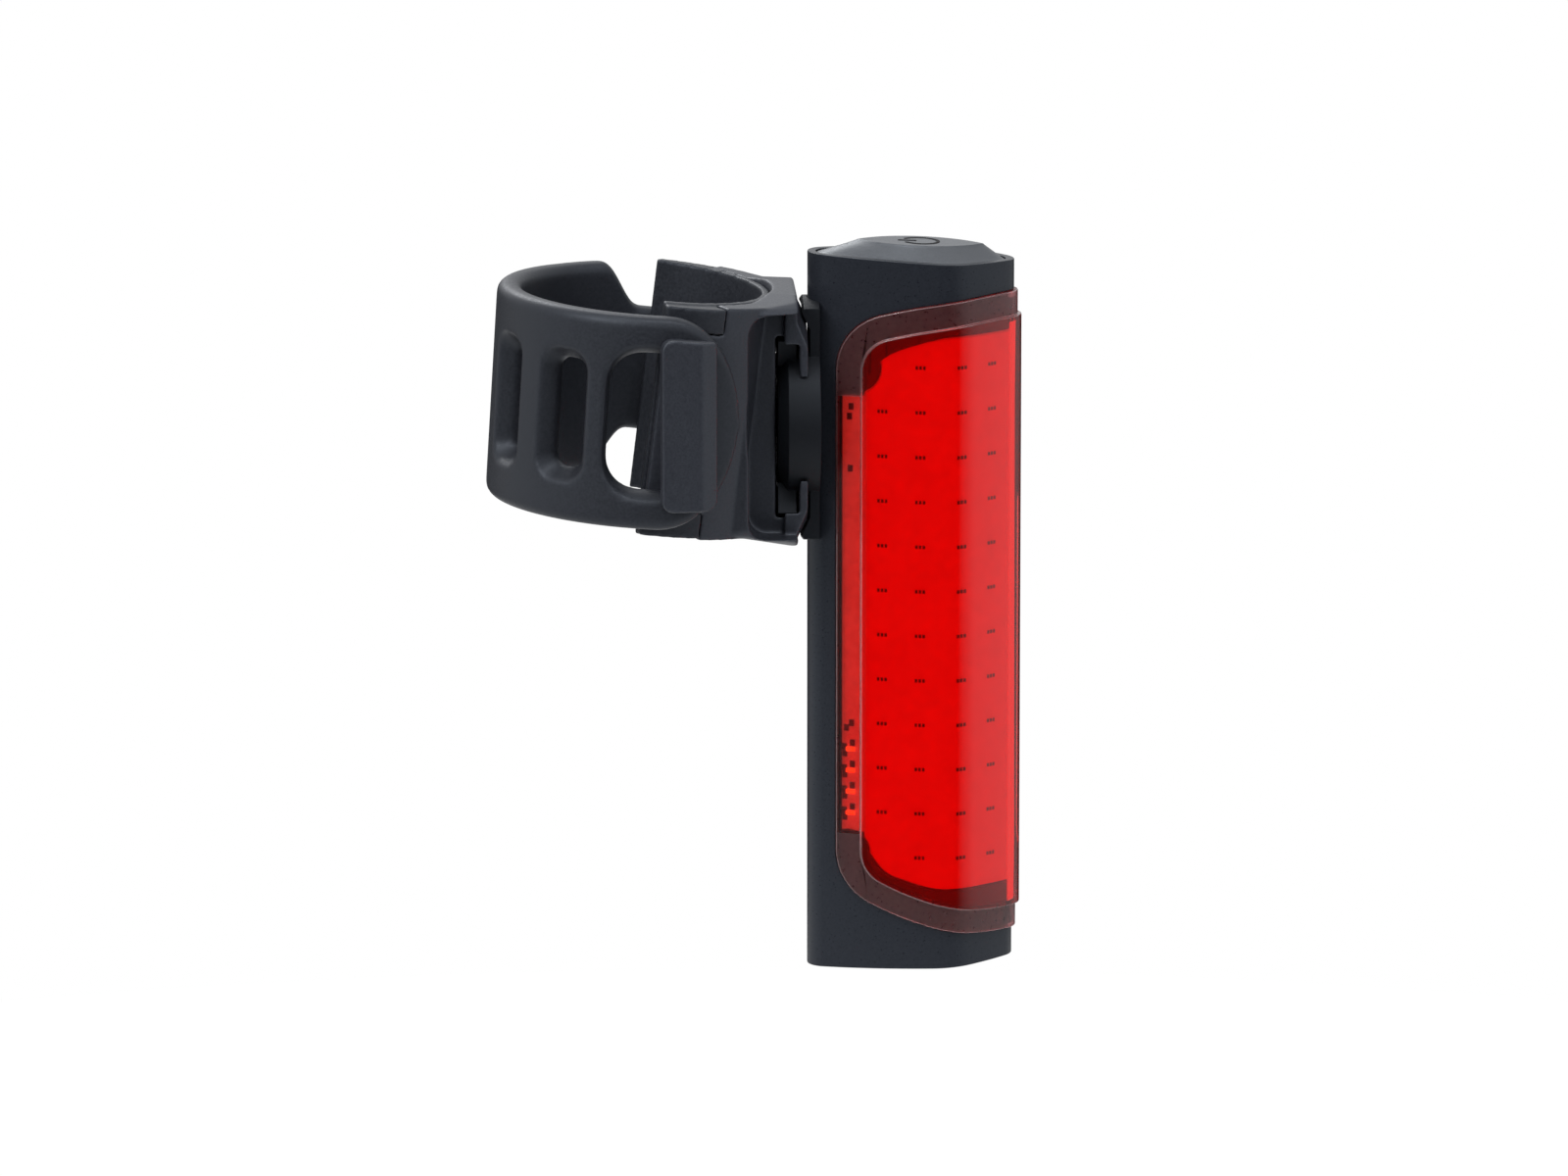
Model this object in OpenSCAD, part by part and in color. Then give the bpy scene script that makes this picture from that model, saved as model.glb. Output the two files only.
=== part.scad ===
/* [Seatpost seat] */
// Diameter of the seatpost that the saddle clamps
post_d = 27.2; // [25:0.1:31.8]
// Lean of the seatpost away from the light's own upright, in degrees
post_lean = 7; // [0:0.5:8]
// Length of the saddle along the seatpost
saddle_h = 28; // [22:0.5:34]
// Thickness of the rubber saddle pad
pad_t = 1; // [0.8:0.1:1.4]
// Half angle that the pad and the saddle wings wrap round the post, in degrees
saddle_wrap = 84; // [70:1:90]

/* [Strap] */
// Width of the rubber strap, measured along the post
strap_w = 25.5; // [20:0.5:27]
// Thickness of the rubber strap
strap_t = 3; // [2.4:0.1:3.6]
// Shift of the strap's circle from the post's axis towards the light
strap_shift = 2.2; // [1.8:0.1:3]
// Gap between the strap and the front of the post
strap_slack = 0.4; // [0.2:0.1:1]
// Width of the wide hole that the hook uses
hook_hole_w = 11; // [9:0.5:12]
// Width of the two spare holes
spare_hole_w = 5.5; // [4:0.5:7]
// Diameter of the steel pin in the strap's eye
strap_pin_d = 2.4; // [2:0.1:3]

/* [Light body] */
// Distance from the back of the post to the light's front edge
light_gap = 7; // [6.8:0.1:9]
// Length of the body, front edge to rear nose
body_l = 24.6; // [23:0.1:28]
// Greatest thickness of the body
body_t = 13.8; // [13:0.1:16]
// Distance from the front edge to the thickest place
bend_x = 15.8; // [14:0.1:17]
// Height of the body at its front edge
body_h = 87; // [82:0.5:96]
// Drop of each end face from the front edge to the nose
end_drop = 1.1; // [0:0.1:2]
// Height of the top edge above the turning axis
rim_up = 20.2; // [19:0.1:22]
// Drop of the turning axis below the strap's middle
turn_drop = 3; // [2:0.1:3.5]
// Wall of the body shell
wall = 1.6; // [1.5:0.05:1.8]
// Width of the raised rim round the button and round the port cover
rim_w = 1; // [0.8:0.1:1.2]

/* [Lens] */
// Width of the black border in front of the lens
lens_front = 3.3; // [3:0.1:4]
// Distance from the top edge to the lens at the nose
lens_top = 4.2; // [3.8:0.1:5]
// Distance from the bottom edge to the lens at the nose
lens_bottom = 3.45; // [3:0.05:4.2]
// Width of the lens's outer flange
flange_w = 2.9; // [2.5:0.1:3.2]
// Height of the flange above the shell
flange_proud = 0.45; // [0.3:0.05:0.6]
// Height of the lens's middle above the shell
lens_proud = 0.9; // [0.7:0.05:1.1]
// Depth of the recess that the flange lies in
rebate_d = 0.95; // [0.85:0.05:1]
// Thickness of the lens gasket
gasket_t = 0.2; // [0.15:0.05:0.3]

/* [Twist lock] */
// Radius of the hub on the light's foot
hub_r = 9.3; // [9:0.1:9.6]
// Radius over the two locking ears
ear_r = 12.2; // [11.9:0.1:12.4]
// Thickness of the locking ears
ear_t = 2.2; // [1.8:0.1:2.4]
// Half angle of each locking ear, in degrees
ear_half = 32; // [24:1:36]
// Thickness of the bracket's lips over the ears
lip_t = 1; // [0.9:0.1:1.2]
// Height of the lock's cup
cup_h = 30; // [29.6:0.1:31]
// Width of the lock's cup
cup_w = 24; // [23:0.5:26]
// Running gap in the twist lock
lock_gap = 0.3; // [0.2:0.05:0.4]

/* [Power and light] */
// Travel of the power button
button_travel = 0.5; // [0.3:0.05:0.6]
// Rows of light-emitting chips on each side
chip_rows = 12; // [8:1:12]
// Distance between the rows of chips
chip_pitch = 5.3; // [4.5:0.1:5.3]
// Length of the battery cell
cell_h = 50; // [40:0.5:52]
// Width of the battery cell
cell_w = 10.6; // [9:0.1:11]
// Thickness of the battery cell
cell_t = 5.2; // [4.4:0.1:5.4]

/* [Hidden] */
$fn = 64;

// Clearances and small sizes shared by several pieces
seat_gap = 0.05;
soft_gap = 0.3;
far = 120;
post_r = post_d / 2;
seat_r = post_r + pad_t;
bracket_bore_r = seat_r + seat_gap;
light_x = post_r + light_gap;
body_bottom = rim_up - body_h;
end_slope = atan(end_drop / body_l);
black_plastic = "#23262c";
black_rubber = "#2b2e34";
steel = "#b8bcc2";
board_green = "#1f5a3a";
chip_black = "#1a1a1c";

// Section of the body: five touching arcs on each side of the middle plane
tip_r = 3.1;
flank_r = 55;
bend_r = 6;
rear_r = 32;
nose_r = 2.8;
tip_c = [tip_r, 0];
bend_c = [bend_x, body_t / 2 - bend_r];
nose_c = [body_l - nose_r, 0];
flank_c = enclosing(tip_c, tip_r, bend_c, bend_r, flank_r);
rear_c = enclosing(bend_c, bend_r, nose_c, nose_r, rear_r);
tip_end = heading(flank_c, tip_c);
bend_start = heading(flank_c, bend_c);
bend_end = heading(rear_c, bend_c);
nose_start = heading(rear_c, nose_c);

// Side view of the lens: a straight front edge, two corner arcs and two long edge arcs
edge_r = 40;
top_corner_r = 10;
bottom_corner_r = 7;
lens_top_z = rim_up - end_drop - lens_top;
lens_bottom_z = body_bottom + end_drop + lens_bottom;
top_edge_c = [body_l, lens_top_z - edge_r];
bottom_edge_c = [body_l, lens_bottom_z + edge_r];
top_corner_c = corner_centre(top_edge_c, top_corner_r, 1);
bottom_corner_c = corner_centre(bottom_edge_c, bottom_corner_r, -1);

// Layers under the lens, as depths below the body's surface
flange_in = rebate_d - gasket_t;
lens_in = 0.35;
coating_out = 1;
board_out = 1.3;
board_in = 1.5;
carrier_t = 0.75;
carrier_out = wall + seat_gap;
carrier_in = carrier_out + carrier_t;
window_inset = flange_w + 0.3;
window_front = 0.9;
board_inset = window_inset + 0.25;
coating_inset = flange_w + 1.5;
window_strip = [lens_front + window_front, bottom_corner_c[1] + 0.5, top_corner_c[1] + 1.6];
lobes = [[lens_front + 2.35, top_corner_c[1] + 4, 3.05], [lens_front + 1.7, bottom_corner_c[1] - 1.75, 3.7]];
lobe_gap = 0.3;

// Levels in the top end, measured down from the rim
deck_top = -2.2;
deck_bottom = deck_top - 1.2;
switch_board_top = -7.3;
board_t = 0.8;
switch_h = 1.6;
plunger_top = -4.9;
plunger_r = 1;
stem_r = 1.4;
button_x = body_l / 2 + 0.9;
button_rise = 1.6;
button_gap = 0.3;
switch_screw_x = [button_x - 5.6, button_x + 5.8];

// Levels in the bottom end, measured up from the rim
floor_low = 1.8;
floor_high = floor_low + 1.2;
cover_low = 0.1;
cover_t = 1.5;
usb_x = body_l / 2 + 0.7;
usb_l = 8.94;
usb_w = 3.26;
usb_low = floor_high + seat_gap;
usb_h = 6.4;
charge_board_low = usb_low + usb_h;
usb_hole_gap = 0.25;
hinge_x = 2.6;
neck_w = 2.2;
neck_end = 4.4;
charge_screw_x = [usb_x - 6.8, usb_x + 6.8];

// Screws
screw_r = 0.8;
screw_head_r = 1.35;
screw_head_h = 0.8;
screw_boss_r = 1.6;
foot_screw_r = 1;
foot_screw_head_r = 1.8;
foot_screw_head_h = 1.1;
foot_screw_l = 6;
foot_screw_z = 4.2;
screw_fit = 0.03;

// Twist lock, along the turning axis from the light's front edge
lip_face = -0.2;
lip_back = lip_face - lip_t;
ear_face = lip_back - lock_gap;
ear_back = ear_face - ear_t;
cup_floor = ear_back - lock_gap;
cone_low_r = ear_r;
cone_high_r = 14.6;
cone_l = 1.2;
keel_half = 4.5;
keel_back = 1.3;
cup_lift = 0.7;
open_half = 7.4;
recess_half = 9.4;
recess_deep = 6.2;
open_front = cup_floor - 3.6;
lip_h = 1.4;

// Strap and saddle wings
strap_in_r = post_r + strap_slack + strap_shift;
strap_out_r = strap_in_r + strap_t;
wing_r = strap_in_r - soft_gap;
strap_lean = 0.75 * post_lean;
hook_a = -82;
tongue_a = -59;
tongue_l = 8.5;
hook_stem_w = 2.2;
hook_stem_h = 11;
hook_face_w = 4.8;
hook_side_w = 1.9;
hook_h = 20.6;
hook_plate_t = 1.9;
hook_corner_r = 1.3;
hook_hole_h = 17;
spare_hole_h = 14.5;
hook_hole_a = -92;
spare_hole_a = [-126, -157];
eye_a = 76;
eye_r = strap_pin_d / 2 + 1.5;
eye_h = 15;
eye_c = strap_point(eye_a, strap_in_r + strap_t / 2);
ear_lug_t = 2.4;
ear_lug_gap = 0.3;
eye_neck_a = 26;
pad_corner_z = eye_h / 2 + ear_lug_gap + ear_lug_t + 0.6;
pad_corner_a = 58;

// Heading in degrees from one point to another
function heading(from, to) = atan2(to[1] - from[1], to[0] - from[0]);

// Centre, below the middle plane, of the circle of radius r round two smaller circles
function enclosing(c1, r1, c2, r2, r) =
    let (d = norm(c2 - c1), a = r - r1, b = r - r2, u = (c2 - c1) / d)
    let (s = (a * a - b * b + d * d) / (2 * d))
    let (h = sqrt(a * a - s * s))
    c1 + s * u + h * [u[1], -u[0]];

// Points along an arc, both ends included
function arc(c, r, a0, a1, n) =
    [for (i = [0 : n]) let (a = a0 + (a1 - a0) * i / n) c + r * [cos(a), sin(a)]];

// One side of the body's section at depth d below its surface
function half_section(d) = concat(
    arc(tip_c, tip_r - d, 180, tip_end, 8),
    arc(flank_c, flank_r - d, tip_end, bend_start, 7),
    arc(bend_c, bend_r - d, bend_start, bend_end, 6),
    arc(rear_c, rear_r - d, bend_end, nose_start, 4),
    arc(nose_c, nose_r - d, nose_start, 0, 6));

function mirrored(pts) = [for (i = [len(pts) - 1 : -1 : 0]) [pts[i][0], -pts[i][1]]];

// Outline of a rectangle with rounded corners, centred
function round_rect(w, h, r) = concat(
    arc([w / 2 - r, h / 2 - r], r, 0, 90, 6),
    arc([r - w / 2, h / 2 - r], r, 90, 180, 6),
    arc([r - w / 2, r - h / 2], r, 180, 270, 6),
    arc([w / 2 - r, r - h / 2], r, 270, 360, 6));

// Centre of a lens corner that touches the front edge and a long edge arc
function corner_centre(edge_c, r, side) =
    let (dx = lens_front + r - edge_c[0])
    [lens_front + r, edge_c[1] + side * sqrt(pow(edge_r - r, 2) - dx * dx)];

// Half thickness of the body at a distance from its front edge, on the flank or the rear face
function half_at(x) =
    let (on_flank = x < bend_x)
    let (c = on_flank ? flank_c : rear_c, r = on_flank ? flank_r : rear_r)
    min(body_t / 2, c[1] + sqrt(r * r - pow(x - c[0], 2)));

// Slope of the body's surface there, in degrees
function slope_at(x) =
    let (c = x < bend_x ? flank_c : rear_c)
    atan2(c[0] - x, half_at(x) - c[1]);

// Point of the strap's circle at an angle, seen along the post
function strap_point(a, r) = [strap_shift + r * cos(a), r * sin(a)];

module section(d) {
    upper = half_section(d);
    polygon(concat(upper, mirrored(upper)));
}

// Places pieces from the light's front edge and turning axis
module in_light() {
    translate([light_x, 0, -turn_drop]) children();
}

module in_top() {
    in_light() translate([0, 0, rim_up]) rotate([0, end_slope, 0]) children();
}

module in_bottom() {
    in_light() translate([0, 0, body_bottom]) rotate([0, -end_slope, 0]) children();
}

module in_post() {
    rotate([0, post_lean, 0]) children();
}

// The pulled strap leans a little less than the post, because the hook stands upright
module in_strap() {
    rotate([0, strap_lean, 0]) children();
}

// Column of the body's section between two heights
module column(d, z0, z1) {
    translate([0, 0, z0]) linear_extrude(z1 - z0) section(d);
}

// Layer of the column between two depths
module layer(d_out, d_in) {
    difference() {
        column(d_out, body_bottom, rim_up);
        column(d_in, body_bottom - 1, rim_up + 1);
    }
}

// Side view of the lens drawn in by d
module lens_view(d) {
    top_a = heading(top_edge_c, top_corner_c);
    bottom_a = heading(bottom_edge_c, bottom_corner_c);
    polygon(concat(
        arc(top_edge_c, edge_r - d, 90, top_a, 8),
        arc(top_corner_c, top_corner_r - d, top_a, 180, 8),
        arc(bottom_corner_c, bottom_corner_r - d, 180, 360 + bottom_a, 8),
        arc(bottom_edge_c, edge_r - d, 360 + bottom_a, 270, 8),
        [[body_l + far / 4, lens_bottom_z + d], [body_l + far / 4, lens_top_z - d]]));
}

// Straight strip in front of the lens's raised middle, where the board's edge shows
module strip_view(d) {
    translate([window_strip[0] + d, window_strip[1] + d])
        square([flange_w + 2, window_strip[2] - window_strip[1] - 2 * d]);
}

// Round lobes of the shell that fill the window's two front corners
module window_lobes(gap) {
    for (l = lobes)
        translate([l[0], l[1]]) circle(l[2] + gap);
}

module through_sides() {
    rotate([90, 0, 0]) linear_extrude(2 * far, center = true) children();
}

module stadium(l, w) {
    polygon(round_rect(l, w, w / 2 - 0.01));
}

module body_shell() {
    color(black_plastic) difference() {
        union() {
            shell_walls();
            foot_boss();
            end_bosses();
        }
        screw_pilots();
    }
}

module shell_walls() {
    difference() {
        in_light() column(0, body_bottom, rim_up);
        in_top() translate([-far / 2, -far / 2, 0]) cube([far, far, far]);
        in_bottom() translate([-far / 2, -far / 2, -far]) cube([far, far, far]);
        shell_cavity();
        in_top() column(rim_w, deck_top, 2);
        in_top() translate([button_x, 0, deck_bottom - 1]) cylinder(r = stem_r + button_gap, h = 4);
        in_bottom() column(rim_w, -2, floor_low);
        in_bottom() translate([usb_x, 0, 0]) linear_extrude(floor_high + 1)
            stadium(usb_l + 2 * usb_hole_gap, usb_w + 2 * usb_hole_gap);
        in_light() through_sides() difference() {
            union() {
                lens_view(window_inset);
                strip_view(0);
            }
            window_lobes(0);
        }
        lens_rebate();
    }
}

module shell_cavity() {
    difference() {
        in_light() column(wall, body_bottom, rim_up);
        in_top() translate([-far / 2, -far / 2, deck_bottom]) cube([far, far, far]);
        in_bottom() translate([-far / 2, -far / 2, floor_high - far]) cube([far, far, far]);
    }
}

module lens_rebate() {
    difference() {
        in_light() through_sides() lens_view(-seat_gap);
        in_light() column(rebate_d, body_bottom - 1, rim_up + 1);
    }
}

module foot_boss() {
    in_light() intersection() {
        column(wall / 2, body_bottom, rim_up);
        translate([0, -2, -foot_screw_z - 2.4]) cube([4.4, 4, 2 * foot_screw_z + 4.8]);
    }
}

module end_bosses() {
    in_top() for (x = switch_screw_x)
        translate([x, 0, switch_board_top])
            cylinder(r = screw_boss_r, h = deck_bottom - switch_board_top + 0.5);
    in_bottom() for (x = charge_screw_x)
        translate([x, 0, floor_high - 0.5])
            cylinder(r = screw_boss_r, h = charge_board_low - floor_high + 0.5);
}

module screw_pilots() {
    pilot_h = 3;
    in_top() for (x = switch_screw_x)
        translate([x, 0, switch_board_top - 1]) cylinder(r = screw_r + screw_fit, h = pilot_h + 1);
    in_bottom() for (x = charge_screw_x)
        translate([x, 0, charge_board_low - pilot_h]) cylinder(r = screw_r + screw_fit, h = pilot_h + 1);
    foot_screw_places() rotate([0, 90, 0]) cylinder(r = foot_screw_r + screw_fit, h = foot_screw_l + 0.4);
}

module lens() {
    color("#d40808", 0.6) in_light() {
        intersection() {
            layer(-flange_proud, flange_in);
            through_sides() lens_view(0);
        }
        intersection() {
            layer(-lens_proud, lens_in);
            through_sides() lens_view(flange_w);
        }
    }
}

module lens_gasket() {
    color(black_rubber) in_light() intersection() {
        layer(flange_in, rebate_d);
        through_sides() difference() {
            lens_view(0.3);
            lens_view(window_inset);
            strip_view(0);
        }
    }
}

module led_board() {
    color("#e8d8d0") in_light() intersection() {
        layer(board_out, board_in);
        through_sides() difference() {
            union() {
                lens_view(board_inset);
                strip_view(0.25);
            }
            window_lobes(lobe_gap);
        }
    }
}

module led_coating() {
    color("#e00000") in_light() difference() {
        intersection() {
            layer(coating_out, board_out);
            through_sides() difference() {
                lens_view(coating_inset);
                window_lobes(lobe_gap);
            }
        }
        chip_places() chip(seat_gap);
    }
}

module led_chips() {
    color(chip_black) in_light() chip_places() chip(0);
}

// One chip under the coating, grown by a clearance
module chip(gap) {
    chip_l = 1.1;
    chip_w = 0.4;
    chip_t = 0.18;
    translate([-chip_l / 2 - gap, -gap, -chip_w / 2 - gap])
        cube([chip_l + 2 * gap, chip_t + 2 * gap, chip_w + 2 * gap]);
}

// Rows and columns of chips on both flanks, each on the board's face
module chip_places() {
    columns = [bend_x - 6.8, bend_x - 2.6, bend_x + 2.8, body_l - 3];
    mid_z = (lens_top_z + lens_bottom_z) / 2;
    for (side = [0, 1], row = [0 : chip_rows - 1], x = columns) {
        z = mid_z + (row - (chip_rows - 1) / 2) * chip_pitch;
        end_row = row == 0 || row == chip_rows - 1;
        if (!(end_row && x == columns[0])) {
            mirror([0, side, 0]) translate([x, half_at(x), z]) rotate([0, 0, slope_at(x)])
                translate([0, -board_out + 0.01, 0]) chip(0);
        }
    }
}

module indicator_leds() {
    lamp = [1.3, 0.5, 1.1];
    pitch = 2.6;
    first_z = window_strip[1] + 3.9 + 3 * pitch;
    x = lens_front + 1.9;
    color("orange") in_light() for (i = [0 : 3])
        translate([x, -half_at(x), first_z - i * pitch]) rotate([0, 0, -slope_at(x)])
            translate([-lamp[0] / 2, board_out - lamp[1] - 0.02, -lamp[2] / 2]) cube(lamp);
}

module led_carrier() {
    ends = [body_bottom + 10.6, rim_up - 11];
    front = lens_front + 2.7;
    color("#c9ccd0") in_light() intersection() {
        layer(carrier_out, carrier_in);
        translate([front, -far / 2, ends[0]]) cube([far, far, ends[1] - ends[0]]);
    }
}

// Corner of the battery cell nearest to the front and the bottom
cell_x = bend_x - 7.4;
cell_z = body_bottom + 14;

module battery() {
    color("#3b6fb0") in_light() translate([cell_x + cell_w / 2, 0, cell_z])
        linear_extrude(cell_h) polygon(round_rect(cell_w, cell_t, 1));
}

module battery_pads() {
    x = cell_x + 3.4;
    pad = [5, half_at(x) - carrier_in - cell_t / 2 - 0.1, cell_h - 12];
    color("#8a8f96") in_light() for (side = [0, 1])
        mirror([0, side, 0]) translate([x, cell_t / 2 + 0.02, cell_z + 6]) cube(pad);
}

module battery_leads() {
    lead_r = 0.5;
    lead_x = cell_x + 3;
    top = rim_up - lead_x * tan(end_slope) + switch_board_top - board_t - 0.1;
    low = cell_z + cell_h;
    color("firebrick") in_light() for (y = [-1.3, 1.3])
        translate([lead_x, y, low]) cylinder(r = lead_r, h = top - low, $fn = 24);
}

// Outline of a small board that fits inside the shell between two places along it
module board_view(x0, x1, depth) {
    intersection() {
        section(depth);
        translate([x0, -far / 2]) square([x1 - x0, far]);
    }
}

module switch_board() {
    color(board_green) in_top() translate([0, 0, switch_board_top - board_t]) difference() {
        linear_extrude(board_t) board_view(switch_screw_x[0] - 2.2, switch_screw_x[1] + 2, wall + 0.3);
        for (x = switch_screw_x)
            translate([x, 0, -1]) cylinder(r = screw_r + 0.15, h = board_t + 2);
    }
}

module switch_board_chips() {
    color(chip_black) in_top() {
        translate([button_x + 0.4, -2, switch_board_top - board_t - 0.9]) cube([3.2, 4, 0.9]);
        for (y = [-2.6, 2.6])
            translate([button_x - 3.6, y - 0.4, switch_board_top]) cube([1.2, 0.8, 0.6]);
    }
}

module tact_switch() {
    side = 4.4;
    well_h = 1.3;
    color("#2f3136") in_top() translate([button_x, 0, switch_board_top]) difference() {
        linear_extrude(switch_h) polygon(round_rect(side, side, 0.5));
        translate([0, 0, switch_h - well_h]) cylinder(r = plunger_r + seat_gap, h = well_h + 1);
    }
}

module switch_plunger() {
    low = switch_board_top + switch_h - 0.7;
    color("#e8e8e8") in_top() translate([button_x, 0, low])
        cylinder(r = plunger_r, h = plunger_top - low);
}

module power_button() {
    skirt_low = -1.5;
    skirt_top = -0.35;
    edge = rim_w + button_gap;
    plateau_l = 15.2;
    plateau_w = 6.6;
    plateau_t = 0.2;
    side_r = (pow(plateau_l / 2, 2) + pow(plateau_w / 2, 2)) / plateau_w;
    color(black_rubber) in_top() {
        column(edge, skirt_low, skirt_top);
        hull() {
            column(edge + 0.2, skirt_top - 0.05, skirt_top + 0.1);
            translate([button_x + 0.2, 0, button_rise - plateau_t]) linear_extrude(plateau_t) intersection() {
                translate([0, side_r - plateau_w / 2]) circle(side_r, $fn = 90);
                translate([0, plateau_w / 2 - side_r]) circle(side_r, $fn = 90);
            }
        }
        translate([button_x, 0, plunger_top]) cylinder(r = stem_r, h = skirt_low - plunger_top + 0.5);
    }
}

module charge_board() {
    color(board_green) in_bottom() translate([0, 0, charge_board_low]) difference() {
        linear_extrude(board_t) board_view(charge_screw_x[0] - 1.6, charge_screw_x[1] + 1.8, carrier_in + 0.2);
        for (x = charge_screw_x)
            translate([x, 0, -1]) cylinder(r = screw_r + 0.15, h = board_t + 2);
    }
}

module charge_board_chips() {
    high = charge_board_low + board_t;
    color(chip_black) in_bottom() {
        translate([usb_x - 4, -1.5, high]) cube([3, 3, 0.9]);
        translate([usb_x + 1.2, -1.2, high]) cube([2.4, 2.4, 1]);
    }
}

module usb_socket() {
    metal_t = 0.3;
    tongue = [6.6, 0.7, usb_h - 1.2];
    color(steel) in_bottom() translate([usb_x, 0, usb_low]) {
        difference() {
            linear_extrude(usb_h) stadium(usb_l, usb_w);
            translate([0, 0, -1]) linear_extrude(usb_h) stadium(usb_l - 2 * metal_t, usb_w - 2 * metal_t);
        }
        translate([-tongue[0] / 2, -tongue[1] / 2, usb_h - 0.5 - tongue[2]]) cube(tongue);
    }
}

module port_cover() {
    edge = rim_w + soft_gap;
    plug_h = 0.9;
    plug = [usb_l - 0.6, usb_w - 0.6];
    mid_z = cover_low + cover_t / 2;
    color(black_rubber) in_bottom() {
        translate([0, 0, cover_low]) linear_extrude(cover_t) intersection() {
            section(edge);
            translate([neck_end, -far / 2]) square([far, far]);
        }
        translate([hinge_x, -neck_w / 2, cover_low]) cube([neck_end - hinge_x + 0.5, neck_w, cover_t]);
        translate([hinge_x, 0, mid_z]) rotate([90, 0, 0])
            cylinder(r = cover_t / 2, h = neck_w, center = true);
        translate([usb_x, 0, cover_low + cover_t - 0.1])
            linear_extrude(plug_h + 0.1) stadium(plug[0], plug[1]);
    }
}

// Small self-tapping screw, head first, pointing up
module small_screw(l) {
    cylinder(r = screw_head_r, h = screw_head_h);
    translate([0, 0, screw_head_h - 0.05]) cylinder(r = screw_r, h = l + 0.05);
}

module board_screws() {
    shank = board_t + 2.4;
    color(steel) {
        in_top() for (x = switch_screw_x)
            translate([x, 0, switch_board_top - board_t - screw_head_h]) small_screw(shank);
        in_bottom() for (x = charge_screw_x)
            translate([x, 0, charge_board_low + board_t + screw_head_h])
                rotate([180, 0, 0]) small_screw(shank);
    }
}

// Solid turned about the light's twist axis, from a profile of [radius, distance along the axis]
module turned(pts) {
    in_light() rotate([0, 90, 0]) rotate_extrude() polygon(pts);
}

module foot_screw_places() {
    in_light() for (z = [-foot_screw_z, foot_screw_z])
        translate([ear_back + foot_screw_head_h, 0, z]) children();
}

module mount_foot() {
    slope = (cone_high_r - cone_low_r) / cone_l;
    keel_low = lip_face + lock_gap + 0.05;
    keel_high = keel_low - cone_l + 0.2;
    color(black_plastic) difference() {
        union() {
            turned([[0, ear_back], [hub_r - 1.6, ear_back], [hub_r, ear_back + 1.2],
                    [hub_r, keel_back], [0, keel_back]]);
            locking_ears();
            intersection() {
                turned([[hub_r - 1, keel_low], [cone_low_r, keel_low],
                        [cone_low_r + slope * (keel_low - keel_high), keel_high],
                        [cone_high_r, keel_high + 0.3], [cone_high_r, keel_back], [hub_r - 1, keel_back]]);
                in_light() translate([-far / 2, -keel_half, -far / 2]) cube([far, 2 * keel_half, far]);
            }
        }
        in_light() column(-seat_gap, body_bottom, rim_up);
        foot_screw_places() rotate([0, 90, 0]) {
            translate([0, 0, -far / 4]) cylinder(r = foot_screw_head_r + 0.15, h = far / 4);
            cylinder(r = foot_screw_r + 0.15, h = far / 4);
        }
    }
}

// Two ears at the top and the bottom of the hub
module locking_ears() {
    for (a = [90, 270])
        in_light() rotate([0, 90, 0]) translate([0, 0, ear_back]) rotate([0, 0, a + 90 - ear_half])
            rotate_extrude(angle = 2 * ear_half) translate([hub_r - 1, 0]) square([ear_r - hub_r + 1, ear_t]);
}

module foot_screws() {
    color(steel) foot_screw_places() rotate([0, 90, 0]) {
        translate([0, 0, -foot_screw_head_h]) difference() {
            cylinder(r = foot_screw_head_r, h = foot_screw_head_h);
            translate([0, 0, -0.1]) cylinder(r = 0.9, h = 0.7, $fn = 6);
        }
        translate([0, 0, -0.05]) cylinder(r = foot_screw_r, h = foot_screw_l);
    }
}

module bracket() {
    color(black_plastic) difference() {
        union() {
            cup_block();
            saddle_wings();
            strap_hook();
            eye_lugs();
        }
        cup_space();
        in_post() cylinder(r = bracket_bore_r, h = far, center = true);
        in_post() pad_corner_places(pad_corner_z - seat_gap) {
            rotate([0, 0, pad_corner_a - 0.3]) rotate_extrude(angle = 60) square([far / 4, saddle_h]);
        }
        eye_pin_bore();
    }
}

// Block behind the post that holds the twist lock
module cup_block() {
    plate_t = 2;
    corner_r = 6;
    seat_h = saddle_h - 0.8;
    hull() {
        translate([light_x + lip_face - plate_t, 0, cup_lift - turn_drop]) rotate([90, 0, 90])
            linear_extrude(plate_t) polygon(round_rect(cup_w, cup_h, corner_r));
        in_post() intersection() {
            translate([strap_shift, 0, -seat_h / 2]) cylinder(r = wing_r - 0.4, h = seat_h, $fn = 48);
            wing_sector(44, saddle_h);
        }
    }
}

// Round cup of the twist lock under its lips, the bevel round the lips and the open sides
module cup_space() {
    turned([[0, cup_floor], [ear_r + lock_gap, cup_floor], [ear_r + lock_gap, lip_back],
            [hub_r + lock_gap, lip_back],
            [hub_r + lock_gap, lip_face + 1], [0, lip_face + 1]]);
    turned([[cone_low_r, lip_face + 0.01], [cone_high_r, lip_face - cone_l], [far / 4, lip_face - cone_l],
            [far / 4, lip_face + 1], [cone_low_r, lip_face + 1]]);
    for (side = [0, 1]) mirror([0, side, 0]) side_opening();
}

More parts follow.
